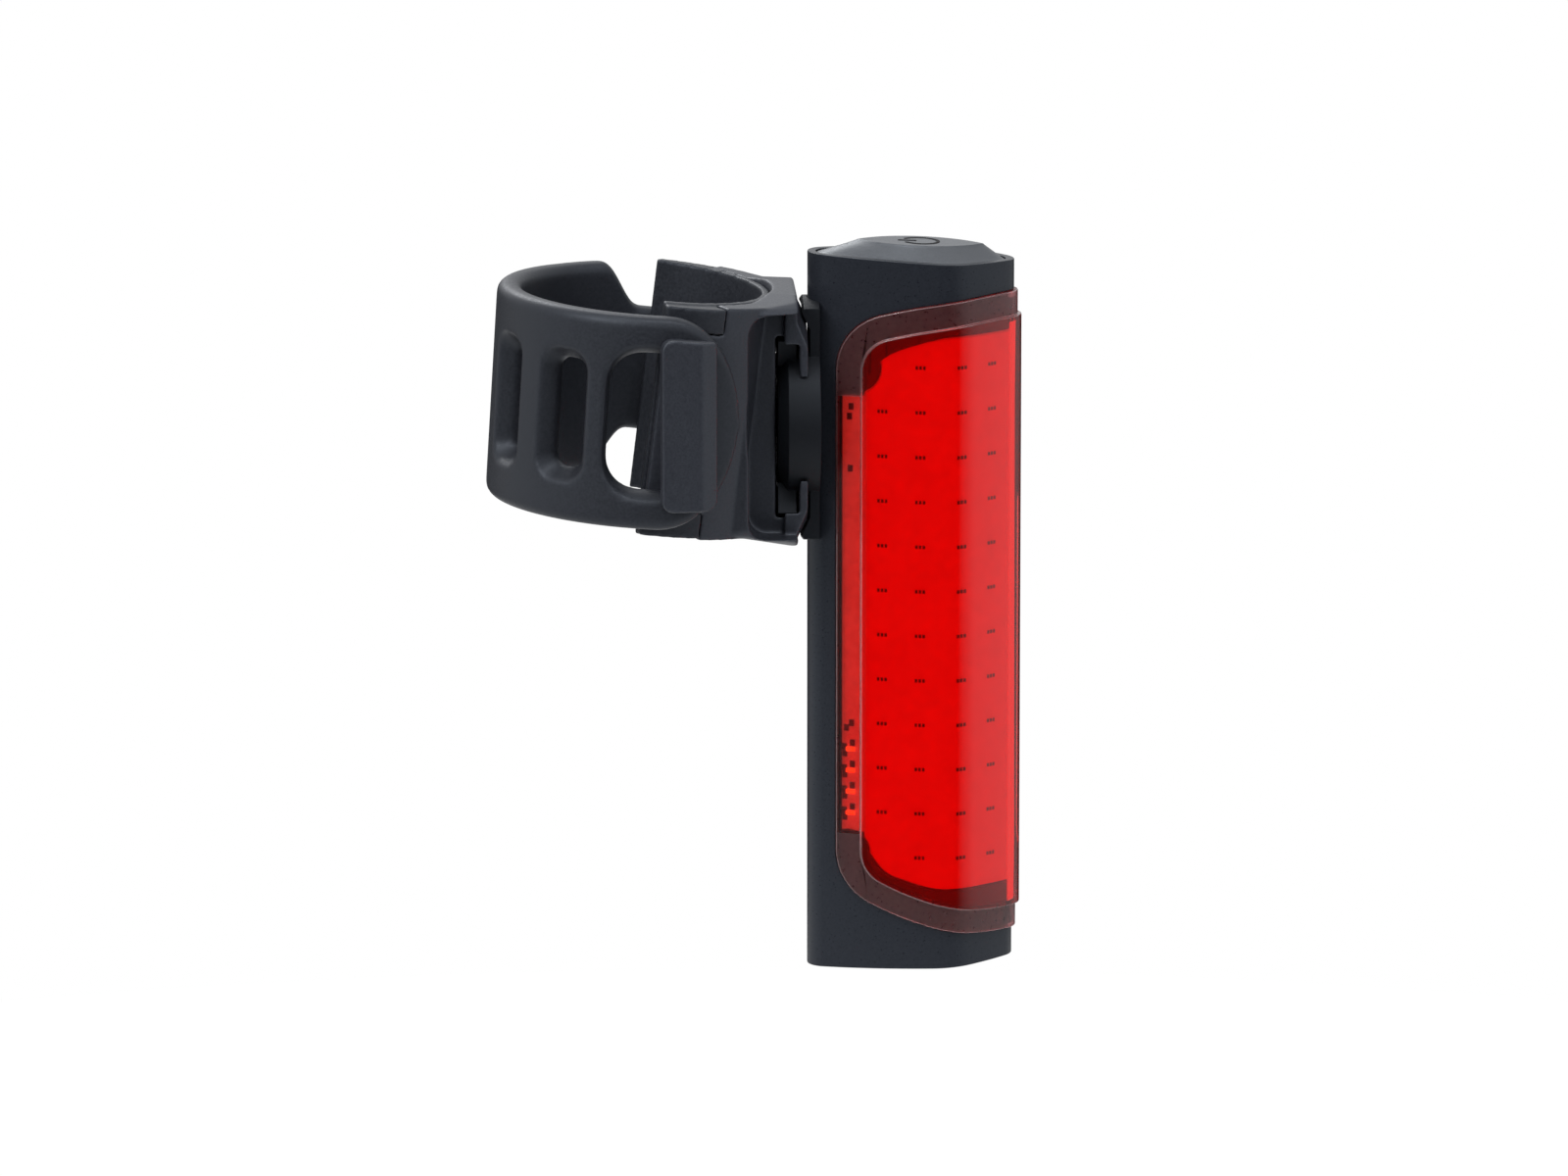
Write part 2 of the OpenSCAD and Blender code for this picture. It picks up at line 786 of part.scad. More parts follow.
// Opening in one side of the cup, where the ears go in and the hub shows
module side_opening() {
    half_h = cup_h / 2 - lip_h;
    bow_r = 42;
    bow_a = asin(half_h / bow_r);
    in_light() translate([0, -open_half, cup_lift]) rotate([90, 0, 0]) linear_extrude(cup_w)
        translate([cup_floor, -half_h]) square([far / 4, 2 * half_h]);
    in_light() translate([0, -recess_half, cup_lift]) rotate([90, 0, 0]) linear_extrude(cup_w)
        polygon(concat(arc([open_front + bow_r, 0], bow_r, 180 - bow_a, 180 + bow_a, 10),
                       [[cup_floor + 1, -half_h], [cup_floor + 1, half_h]]));
    in_light() translate([0, -recess_deep, cup_lift]) rotate([90, 0, 0]) linear_extrude(cup_w)
        translate([open_front + 2.2, 1.5 - half_h]) square([cup_floor + 1 - open_front - 2.2, 2 * half_h - 3]);
}

module saddle_wings() {
    in_post() intersection() {
        translate([strap_shift, 0, -saddle_h / 2]) cylinder(r = wing_r, h = saddle_h);
        wing_sector(saddle_wrap - 1.5, saddle_h);
    }
}

// Wedge about the post's axis, open towards the light
module wing_sector(half, h) {
    rotate([0, 0, -half]) translate([0, 0, -h / 2]) rotate_extrude(angle = 2 * half) square([far / 3, h]);
}

module strap_hook() {
    stem_in = wing_r - 1;
    plate_in = strap_out_r + soft_gap;
    half = hook_face_w / 2;
    translate([strap_shift, 0, 0]) rotate([0, 0, hook_a]) {
        translate([stem_in, -hook_stem_w / 2, -hook_stem_h / 2])
            cube([plate_in - stem_in + 0.5, hook_stem_w, hook_stem_h]);
        intersection() {
            translate([0, 0, -hook_h / 2]) linear_extrude(hook_h)
                polygon([[plate_in, -half], [plate_in + hook_plate_t, -half], [plate_in + hook_plate_t, half],
                         [plate_in + 0.8, half + hook_side_w], [plate_in, half + hook_side_w]]);
            translate([0, hook_side_w / 2, 0]) rotate([90, 0, 90])
                linear_extrude(far / 4) polygon(round_rect(hook_face_w + hook_side_w, hook_h, hook_corner_r));
        }
    }
}

// Two lugs on the far side that carry the strap's pin
module eye_lugs() {
    low = eye_h / 2 + ear_lug_gap;
    in_post() for (side = [0, 1]) mirror([0, 0, side]) translate([0, 0, low]) {
        translate([eye_c[0], eye_c[1], 0]) cylinder(r = eye_r, h = ear_lug_t);
        translate([strap_shift, 0, 0]) rotate([0, 0, eye_a])
            translate([wing_r - 1, 0.3 - eye_r, 0])
                cube([strap_t / 2 + 1 + soft_gap, 2 * eye_r - 0.6, ear_lug_t]);
    }
}

module eye_pin_bore() {
    in_post() translate([eye_c[0], eye_c[1], 0])
        cylinder(r = strap_pin_d / 2 + screw_fit, h = 2 * strap_w, center = true);
}

module strap_pin() {
    pin_l = eye_h + 2 * (ear_lug_gap + ear_lug_t);
    color(steel) in_post() translate([eye_c[0], eye_c[1], 0])
        cylinder(r = strap_pin_d / 2, h = pin_l, center = true);
}

// The four corners of the saddle beyond the ends of the bracket's wings
module pad_corner_places(z) {
    for (side = [0, 1], end = [0, 1])
        mirror([0, side, 0]) mirror([0, 0, end]) translate([0, 0, z]) children();
}

module saddle_pad() {
    corner_h = saddle_h / 2 - pad_corner_z - 0.2;
    corner_wrap = saddle_wrap - 0.6 - pad_corner_a;
    color(black_rubber) in_post() {
        intersection() {
            difference() {
                cylinder(r = seat_r, h = saddle_h, center = true);
                cylinder(r = post_r, h = saddle_h + 2, center = true);
            }
            wing_sector(saddle_wrap, saddle_h);
        }
        pad_corner_places(pad_corner_z) intersection() {
            translate([strap_shift, 0, -1]) cylinder(r = wing_r, h = saddle_h);
            rotate([0, 0, pad_corner_a]) rotate_extrude(angle = corner_wrap)
                translate([seat_r - 0.4, 0]) square([strap_t, corner_h]);
        }
    }
}

module strap() {
    color(black_rubber) difference() {
        union() {
            in_strap() difference() {
                strap_band();
                tongue_corners();
                strap_holes();
            }
            in_post() difference() {
                translate([eye_c[0], eye_c[1], 0]) cylinder(r = eye_r, h = eye_h, center = true);
                translate([strap_shift, 0, 0]) cylinder(r = strap_in_r, h = eye_h + 2, center = true);
            }
        }
        in_post() {
            eye_clearance();
            translate([eye_c[0], eye_c[1], 0])
                cylinder(r = strap_pin_d / 2 + seat_gap, h = eye_h + 2, center = true);
        }
    }
}

module strap_band() {
    span = 360 + tongue_a - eye_a;
    translate([strap_shift, 0, 0]) rotate([0, 0, eye_a]) rotate_extrude(angle = span)
        translate([strap_in_r + strap_t / 2, 0]) polygon(round_rect(strap_t, strap_w, strap_t * 0.4));
}

// Room for the lugs above and below the eye
module eye_clearance() {
    for (side = [0, 1]) mirror([0, 0, side])
        translate([strap_shift, 0, eye_h / 2]) rotate([0, 0, eye_a - 5])
            rotate_extrude(angle = eye_neck_a) square([far / 4, strap_w]);
}

// Corners cut off the free end of the strap to leave a round tongue
module tongue_corners() {
    trim_l = tongue_l + 1;
    half_w = strap_w / 2;
    translate([strap_shift, 0, 0]) rotate([0, 0, tongue_a]) rotate([90, 0, 90])
        linear_extrude(far / 4) difference() {
        translate([-trim_l, -strap_w]) square([2 * trim_l, 2 * strap_w]);
        polygon(concat(
            [for (i = [0 : 16]) let (a = i * 180 / 16 - 90) [tongue_l * (cos(a) - 1), half_w * sin(a)]],
            [[-2 * trim_l, half_w], [-2 * trim_l, -half_w]]));
    }
}

module strap_holes() {
    strap_hole(hook_hole_a, hook_hole_w, hook_hole_h);
    for (a = spare_hole_a)
        strap_hole(a, spare_hole_w, spare_hole_h);
}

module strap_hole(a, w, h) {
    translate([strap_shift, 0, 0]) rotate([0, 0, a]) rotate([90, 0, 90])
        linear_extrude(far / 4) polygon(round_rect(w, h, min(w, h) * 0.3));
}

bracket();
saddle_pad();
strap();
strap_pin();
body_shell();
lens();
lens_gasket();
led_board();
led_coating();
led_chips();
indicator_leds();
led_carrier();
battery();
battery_pads();
battery_leads();
switch_board();
switch_board_chips();
tact_switch();
switch_plunger();
power_button();
charge_board();
charge_board_chips();
usb_socket();
port_cover();
board_screws();
mount_foot();
foot_screws();
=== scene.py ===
"""Looks of a bike rear light on its seatpost strap bracket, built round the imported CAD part."""

from __future__ import annotations

import logging
import math
from dataclasses import dataclass, field
from enum import Enum, IntEnum
from typing import Callable, Iterable, Sequence

import bmesh
import bpy
import numpy as np
from mathutils import Matrix, Vector

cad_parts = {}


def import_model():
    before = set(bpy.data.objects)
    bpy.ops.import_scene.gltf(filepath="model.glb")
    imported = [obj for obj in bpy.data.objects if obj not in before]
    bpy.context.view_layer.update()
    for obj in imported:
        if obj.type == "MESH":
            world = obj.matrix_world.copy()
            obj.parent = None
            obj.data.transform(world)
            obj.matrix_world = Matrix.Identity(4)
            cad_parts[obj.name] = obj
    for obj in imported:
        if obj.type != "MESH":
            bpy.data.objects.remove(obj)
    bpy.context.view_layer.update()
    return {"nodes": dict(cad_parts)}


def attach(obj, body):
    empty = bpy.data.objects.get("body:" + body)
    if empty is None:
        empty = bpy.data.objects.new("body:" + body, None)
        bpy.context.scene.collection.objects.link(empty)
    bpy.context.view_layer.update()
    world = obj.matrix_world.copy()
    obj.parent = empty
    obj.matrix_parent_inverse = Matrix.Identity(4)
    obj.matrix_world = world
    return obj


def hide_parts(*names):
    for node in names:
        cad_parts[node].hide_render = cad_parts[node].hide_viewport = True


LOG = logging.getLogger("rear_light")
MM = 0.001
Point2 = tuple[float, float]


class Body(Enum):
    """Rigid bodies of the part, by the names of the empties that their pieces hang from."""

    BRACKET = "bracket"
    STRAP = "strap"
    LIGHT = "light"
    BUTTON = "button"
    COVER = "cover"


class Slot(Enum):
    """Material slots of the record."""

    PLASTIC = "black_plastic"
    RUBBER = "black_rubber"
    LENS = "red_lens"
    COATING = "red_coating"
    FLEX = "flex_board"
    CHIP = "chip_black"
    AMBER = "indicator_amber"
    CARRIER = "carrier_metal"
    CELL = "battery_wrap"
    FOAM = "grey_foam"
    LEAD = "lead_rubber"
    BOARD = "circuit_board"
    WHITE = "white_plastic"
    STEEL = "steel"


class Zone(IntEnum):
    """Zones of the lens, in the order of its materials."""

    CLEAR = 0
    # Rounded edges, given a pale finish as painted glints.
    PAINTED_GLINT = 1
    FLANGE = 2
    STRIP = 3


class Join(Enum):
    """Ways in which one solid can meet another."""

    ADD = "UNION"
    CUT = "DIFFERENCE"
    KEEP = "INTERSECT"


# Finishes

# Tint of cool reflections, and the share of the noise that a finish is spread over
COOL = (0.80, 0.88, 1.0)
SPAN = (0.3, 0.7)


@dataclass(frozen=True)
class Finish:
    """A procedural surface: two close colours, a roughness range and a fine grain.

    Attributes:
        name: Name of the material.
        dark: Darker of the two linear colours.
        light: Lighter of the two linear colours.
        rough: Least and greatest roughness.
        grain: Size of the grain, in millimetres.
        depth: Height of the grain, in millimetres.
        metal: Metallic share.
        specular: Specular level.
        sheen: Colour of the reflected light.
    """

    name: str
    dark: tuple[float, float, float]
    light: tuple[float, float, float]
    rough: tuple[float, float] = (0.4, 0.55)
    grain: float = 0.35
    depth: float = 0.01
    metal: float = 0.0
    specular: float = 0.5
    sheen: tuple[float, float, float] = (1.0, 1.0, 1.0)

    def build(self) -> bpy.types.Material:
        """Makes the material.

        Returns:
            The finished node material.
        """
        material = bpy.data.materials.new(self.name)
        material.use_nodes = True
        tree = material.node_tree
        shader = tree.nodes["Principled BSDF"]
        shader.inputs["Metallic"].default_value = self.metal
        shader.inputs["Specular IOR Level"].default_value = self.specular
        shader.inputs["Specular Tint"].default_value = (*self.sheen, 1.0)
        coords = tree.nodes.new("ShaderNodeTexCoord")
        noise = tree.nodes.new("ShaderNodeTexNoise")
        noise.inputs["Scale"].default_value = 1.0 / (self.grain * MM)
        noise.inputs["Detail"].default_value = 3.0
        tree.links.new(coords.outputs["Object"], noise.inputs["Vector"])
        ramp = tree.nodes.new("ShaderNodeValToRGB")
        ramp.color_ramp.elements[0].position = SPAN[0]
        ramp.color_ramp.elements[0].color = (*self.dark, 1.0)
        ramp.color_ramp.elements[1].position = SPAN[1]
        ramp.color_ramp.elements[1].color = (*self.light, 1.0)
        tree.links.new(noise.outputs["Fac"], ramp.inputs["Fac"])
        tree.links.new(ramp.outputs["Color"], shader.inputs["Base Color"])
        spread = tree.nodes.new("ShaderNodeMapRange")
        spread.inputs["From Min"].default_value = SPAN[0]
        spread.inputs["From Max"].default_value = SPAN[1]
        spread.inputs["To Min"].default_value = self.rough[0]
        spread.inputs["To Max"].default_value = self.rough[1]
        tree.links.new(noise.outputs["Fac"], spread.inputs["Value"])
        tree.links.new(spread.outputs["Result"], shader.inputs["Roughness"])
        bump = tree.nodes.new("ShaderNodeBump")
        bump.inputs["Strength"].default_value = 0.35
        bump.inputs["Distance"].default_value = self.depth * MM
        tree.links.new(noise.outputs["Fac"], bump.inputs["Height"])
        tree.links.new(bump.outputs["Normal"], shader.inputs["Normal"])
        self.extend(shader, ramp)
        return material

    def extend(self, shader: bpy.types.Node, ramp: bpy.types.Node) -> None:
        """Adds what a special finish needs; plain ones add nothing.

        Args:
            shader: The surface shader; not used here.
                ramp: The node that gives the colour; not used here.
        """


@dataclass(frozen=True)
class ClearFinish(Finish):
    """A clear moulded plastic that light goes through.

    Attributes:
        clear: Share of light that goes through.
    """

    clear: float = 0.95

    def extend(self, shader: bpy.types.Node, ramp: bpy.types.Node) -> None:
        """Lets light through the surface.

        Args:
            shader: The surface shader.
            ramp: The node that gives the colour; not used.
        """
        shader.inputs["Transmission Weight"].default_value = self.clear
        shader.inputs["IOR"].default_value = 1.49


@dataclass(frozen=True)
class LampOrPaintedGlowFinish(Finish):
    """A surface that gives off light: the light of a lit lamp, or painted light on a part that is no lamp.

    Attributes:
        glow: Strength of the glow.
    """

    glow: float = 0.3

    def extend(self, shader: bpy.types.Node, ramp: bpy.types.Node) -> None:
        """Gives the surface its glow.

        Args:
            shader: The surface shader.
            ramp: The node that gives the colour.
        """
        ramp.id_data.links.new(ramp.outputs["Color"], shader.inputs["Emission Color"])
        shader.inputs["Emission Strength"].default_value = self.glow


@dataclass
class Palette:
    """Every finish of the light, made once and shared."""

    finishes: dict[Slot, Finish] = field(default_factory=lambda: {
        Slot.PLASTIC: Finish("black plastic", (0.0130, 0.0148, 0.0200), (0.0172, 0.0193, 0.0255),
                             (0.27, 0.36), 0.25, 0.005, specular=0.27, sheen=(0.80, 0.89, 1.0)),
        Slot.RUBBER: Finish("black rubber", (0.0105, 0.0115, 0.0152), (0.0170, 0.0184, 0.0235),
                            (0.40, 0.54), 0.30, 0.012, specular=0.36, sheen=COOL),
        Slot.LENS: ClearFinish("clear red", (0.88, 0.010, 0.008), (0.92, 0.014, 0.010), (0.02, 0.05), 4.0, 0.001),
        # The coating's glow is painted light: it brightens the red as if more light fell on it, with the chips
        # unlit.
        Slot.COATING: LampOrPaintedGlowFinish("red coating", (0.72, 0.004, 0.002), (0.80, 0.006, 0.003),
                                 (0.30, 0.42), 1.2, 0.004, glow=0.35),
        # The board's glow is painted light, not a lamp: it brightens the strip seen through the lens.
        Slot.FLEX: LampOrPaintedGlowFinish("pale flexible board painted glow", (0.62, 0.41, 0.34), (0.72, 0.49, 0.41),
                              (0.35, 0.5), 0.8, 0.004, glow=0.3),
        Slot.CHIP: Finish("dark chip", (0.012, 0.01, 0.01), (0.03, 0.02, 0.02), (0.35, 0.5), 0.3, 0.004),
        Slot.AMBER: LampOrPaintedGlowFinish("amber lamp", (0.9, 0.28, 0.04), (1.0, 0.42, 0.08), (0.2, 0.3), 0.4, 0.004, glow=1.4),
        Slot.CARRIER: Finish("aluminium sheet", (0.62, 0.63, 0.65), (0.72, 0.73, 0.75),
                             (0.28, 0.42), 0.6, 0.004, metal=1.0),
        Slot.CELL: Finish("cell wrap", (0.08, 0.17, 0.36), (0.11, 0.22, 0.44), (0.2, 0.32), 1.5, 0.006),
        Slot.FOAM: Finish("grey foam", (0.22, 0.23, 0.25), (0.36, 0.37, 0.39), (0.8, 0.95), 0.4, 0.05),
        Slot.LEAD: Finish("lead sleeve", (0.38, 0.02, 0.015), (0.46, 0.035, 0.02), (0.35, 0.45), 0.5, 0.004),
        Slot.BOARD: Finish("green board", (0.015, 0.11, 0.045), (0.03, 0.16, 0.07), (0.3, 0.45), 0.9, 0.01),
        Slot.WHITE: Finish("white plastic", (0.72, 0.72, 0.71), (0.8, 0.8, 0.79), (0.35, 0.45), 0.3, 0.004),
        Slot.STEEL: Finish("plain steel", (0.52, 0.53, 0.54), (0.64, 0.65, 0.66),
                           (0.22, 0.36), 0.25, 0.004, metal=1.0),
    })
    matte: Finish = Finish("matte black", (0.0175, 0.0190, 0.0250), (0.0255, 0.0276, 0.0352),
                           (0.36, 0.48), 0.25, 0.006, specular=0.38, sheen=COOL)
    # A lighter copy of the black rubber: painted light, for the light that falls on the cap's upward faces.
    cap: Finish = Finish("cap rubber painted light", (0.038, 0.0395, 0.0455), (0.049, 0.0510, 0.0580),
                         (0.40, 0.50), 0.30, 0.006, specular=0.8, sheen=(0.84, 0.92, 1.0))
    # A far darker copy of the black plastic for the mount foot: painted shade, for the shadow it sits in between the
    # light and the bracket.
    painted_shade_hub: Finish = Finish("hub black", (0.0040, 0.0045, 0.0060), (0.0060, 0.0066, 0.0085),
                         (0.45, 0.60), 0.25, 0.006, specular=0.2, sheen=COOL)
    frost: Finish = ClearFinish("frosted red", (0.36, 0.105, 0.115), (0.44, 0.135, 0.145),
                                (0.26, 0.40), 0.5, 0.004, clear=0.94)
    thin: Finish = ClearFinish("thin red", (0.88, 0.075, 0.065), (0.92, 0.085, 0.075),
                               (0.14, 0.22), 4.0, 0.001, specular=0.3, clear=1.0)
    # Pale pink glossy finish for the lens's rounded edges: painted glints, lighter than the red plastic.
    edge: Finish = ClearFinish("painted glint edge", (0.80, 0.48, 0.50), (0.86, 0.54, 0.56),
                               (0.12, 0.20), 1.0, 0.001, specular=1.0, clear=0.84)
    strip_part: Finish = Finish("strip part", (0.05, 0.012, 0.012), (0.10, 0.025, 0.022), (0.5, 0.6), 0.4, 0.004)
    # Darker than the cap: painted shade, for the shade held in the sign's lines.
    sign: Finish = Finish("sign painted shade", (0.006, 0.006, 0.007), (0.009, 0.009, 0.010),
                          (0.6, 0.7), 0.3, 0.003, specular=0.1)
    made: dict[Slot, bpy.types.Material] = field(default_factory=dict)

    def get(self, slot: Slot) -> bpy.types.Material:
        """Gives a slot's material, making it the first time.

        Args:
            slot: The material slot.

        Returns:
            The shared material.
        """
        if slot not in self.made:
            self.made[slot] = self.finishes[slot].build()
        return self.made[slot]


# Shapes


def arc(centre: Point2, radius: float, start: float, end: float, steps: int) -> list[Point2]:
    """Points along an arc, both ends included.

    Args:
        centre: Centre of the arc.
        radius: Radius of the arc.
        start: First angle, in radians.
        end: Last angle, in radians.
        steps: Number of equal steps.

    Returns:
        The points in order.
    """
    turns = [start + (end - start) * i / steps for i in range(steps + 1)]
    return [(centre[0] + radius * math.cos(a), centre[1] + radius * math.sin(a)) for a in turns]


def circle(centre: Point2, radius: float, steps: int = 48) -> list[Point2]:
    """Points round a circle, none repeated.

    Args:
        centre: Centre of the circle.
        radius: Radius of the circle.
        steps: Number of points.

    Returns:
        The points in order.
    """
    return arc(centre, radius, 0.0, 2 * math.pi, steps)[:-1]


def heading(start: Point2, end: Point2) -> float:
    """Direction from one point to another.

    Args:
        start: First point.
        end: Second point.

    Returns:
        The angle in radians.
    """
    return math.atan2(end[1] - start[1], end[0] - start[0])


def round_rect(width: float, height: float, radius: float, steps: int = 6) -> list[Point2]:
    """Outline of a rectangle with rounded corners.

    Args:
        width: Size along the first axis.
        height: Size along the second axis.
        radius: Corner radius.
        steps: Steps in each corner.

    Returns:
        The outline's points, anticlockwise.
    """
    x, y = width / 2 - radius, height / 2 - radius
    points: list[Point2] = []
    for i, centre in enumerate([(x, y), (-x, y), (-x, -y), (x, -y)]):
        points += arc(centre, radius, i * math.pi / 2, (i + 1) * math.pi / 2, steps)
    return points


def rounded(points: Sequence[Point2], radii: Sequence[float], steps: int = 10) -> list[Point2]:
    """Outline through corners that are each rounded by their own radius.

    Args:
        points: Corners in order.
        radii: Radius at each corner, 0 for a sharp one.
        steps: Steps in each rounding.

    Returns:
        The outline's points.
    """
    made: list[Point2] = []
    for i, (point, radius) in enumerate(zip(points, radii)):
        here = Vector(point)
        before = (Vector(points[i - 1]) - here).normalized()
        after = (Vector(points[(i + 1) % len(points)]) - here).normalized()
        half = before.angle(after) / 2
        if radius <= 0 or half > math.radians(89.9):
            made.append(point)
            continue
        centre = here + (before + after).normalized() * (radius / math.sin(half))
        start = here + before * (radius / math.tan(half)) - centre
        turn = before.angle_signed(after)
        sweep = math.copysign(math.pi - 2 * half, turn)
        first = math.atan2(start.y, start.x)
        made += arc((centre.x, centre.y), radius, first, first + sweep, steps)
    return tidy_loop(made)


def tidy_loop(points: Sequence[Point2]) -> list[Point2]:
    """Leaves out points that repeat the one before.

    Args:
        points: A closed loop of points.

    Returns:
        The loop without repeats.
    """
    kept: list[Point2] = []
    for p in points:
        if not kept or math.dist(kept[-1], p) > 1e-5:
            kept.append(p)
    if math.dist(kept[0], kept[-1]) < 1e-5:
        kept.pop()
    return kept


@dataclass(frozen=True)
class BodySection:
    """Section of the light's body: five touching arcs on each side of the middle plane, in millimetres."""

    length: float = 24.6
    thickness: float = 13.8
    bend_x: float = 15.8
    tip_r: float = 3.1
    flank_r: float = 55.0
    bend_r: float = 6.0
    rear_r: float = 32.0
    nose_r: float = 2.8

    @property
    def tip(self) -> Point2:
        """Centre of the front edge's arc."""
        return (self.tip_r, 0.0)

    @property
    def bend(self) -> Point2:
        """Centre of the arc at the thickest place."""
        return (self.bend_x, self.thickness / 2 - self.bend_r)

    @property
    def nose(self) -> Point2:
        """Centre of the nose's arc."""
        return (self.length - self.nose_r, 0.0)

    @property
    def flank(self) -> Point2:
        """Centre of the flank's arc."""
        return self._round_both(self.tip, self.tip_r, self.bend, self.bend_r, self.flank_r)

    @property
    def rear(self) -> Point2:
        """Centre of the rear face's arc."""
        return self._round_both(self.bend, self.bend_r, self.nose, self.nose_r, self.rear_r)

    @staticmethod
    def _round_both(c1: Point2, r1: float, c2: Point2, r2: float, r: float) -> Point2:
        """Centre of the circle that encloses and touches two smaller ones.

        Args:
            c1: Centre of the first small circle.
            r1: Its radius.
            c2: Centre of the second small circle.
            r2: Its radius.
            r: Radius of the enclosing circle.

        Returns:
            The centre, on the lower side.
        """
        d = math.dist(c1, c2)
        ux, uy = (c2[0] - c1[0]) / d, (c2[1] - c1[1]) / d
        a, b = r - r1, r - r2
        s = (a * a - b * b + d * d) / (2 * d)
        h = math.sqrt(a * a - s * s)
        return (c1[0] + s * ux + h * uy, c1[1] + s * uy - h * ux)

    def half(self, depth: float, fine: int = 2) -> list[Point2]:
        """One side of the section at a depth below the surface.

        Args:
            depth: Depth below the surface, negative above it.
            fine: Steps are multiplied by this.

        Returns:
            Points from the front edge to the nose.
        """
        t_end, b_start = heading(self.flank, self.tip), heading(self.flank, self.bend)
        b_end, n_start = heading(self.rear, self.bend), heading(self.rear, self.nose)
        points = arc(self.tip, self.tip_r - depth, math.pi, t_end, 7 * fine)
        points += arc(self.flank, self.flank_r - depth, t_end, b_start, 7 * fine)
        points += arc(self.bend, self.bend_r - depth, b_start, b_end, 6 * fine)
        points += arc(self.rear, self.rear_r - depth, b_end, n_start, 4 * fine)
        points += arc(self.nose, self.nose_r - depth, n_start, 0.0, 6 * fine)
        return points

    def loop(self, depth: float, fine: int = 2) -> list[Point2]:
        """The whole section at a depth below the surface.

        Args:
            depth: Depth below the surface, negative above it.
            fine: Steps are multiplied by this.

        Returns:
            The closed outline's points.
        """
        upper = self.half(depth, fine)
        return tidy_loop(upper + [(x, -y) for x, y in reversed(upper)])

    def half_at(self, x: float) -> float:
        """Half thickness at a distance from the front edge.

        Args:
            x: Distance from the front edge.

        Returns:
            The half thickness.
        """
        c, r = (self.flank, self.flank_r) if x < self.bend_x else (self.rear, self.rear_r)
        return min(self.thickness / 2, c[1] + math.sqrt(r * r - (x - c[0]) ** 2))

    def slope_at(self, x: float) -> float:
        """Slope of the surface at a distance from the front edge.

        Args:
            x: Distance from the front edge.

        Returns:
            The slope in radians.
        """
        c = self.flank if x < self.bend_x else self.rear
        return math.atan2(c[0] - x, self.half_at(x) - c[1])


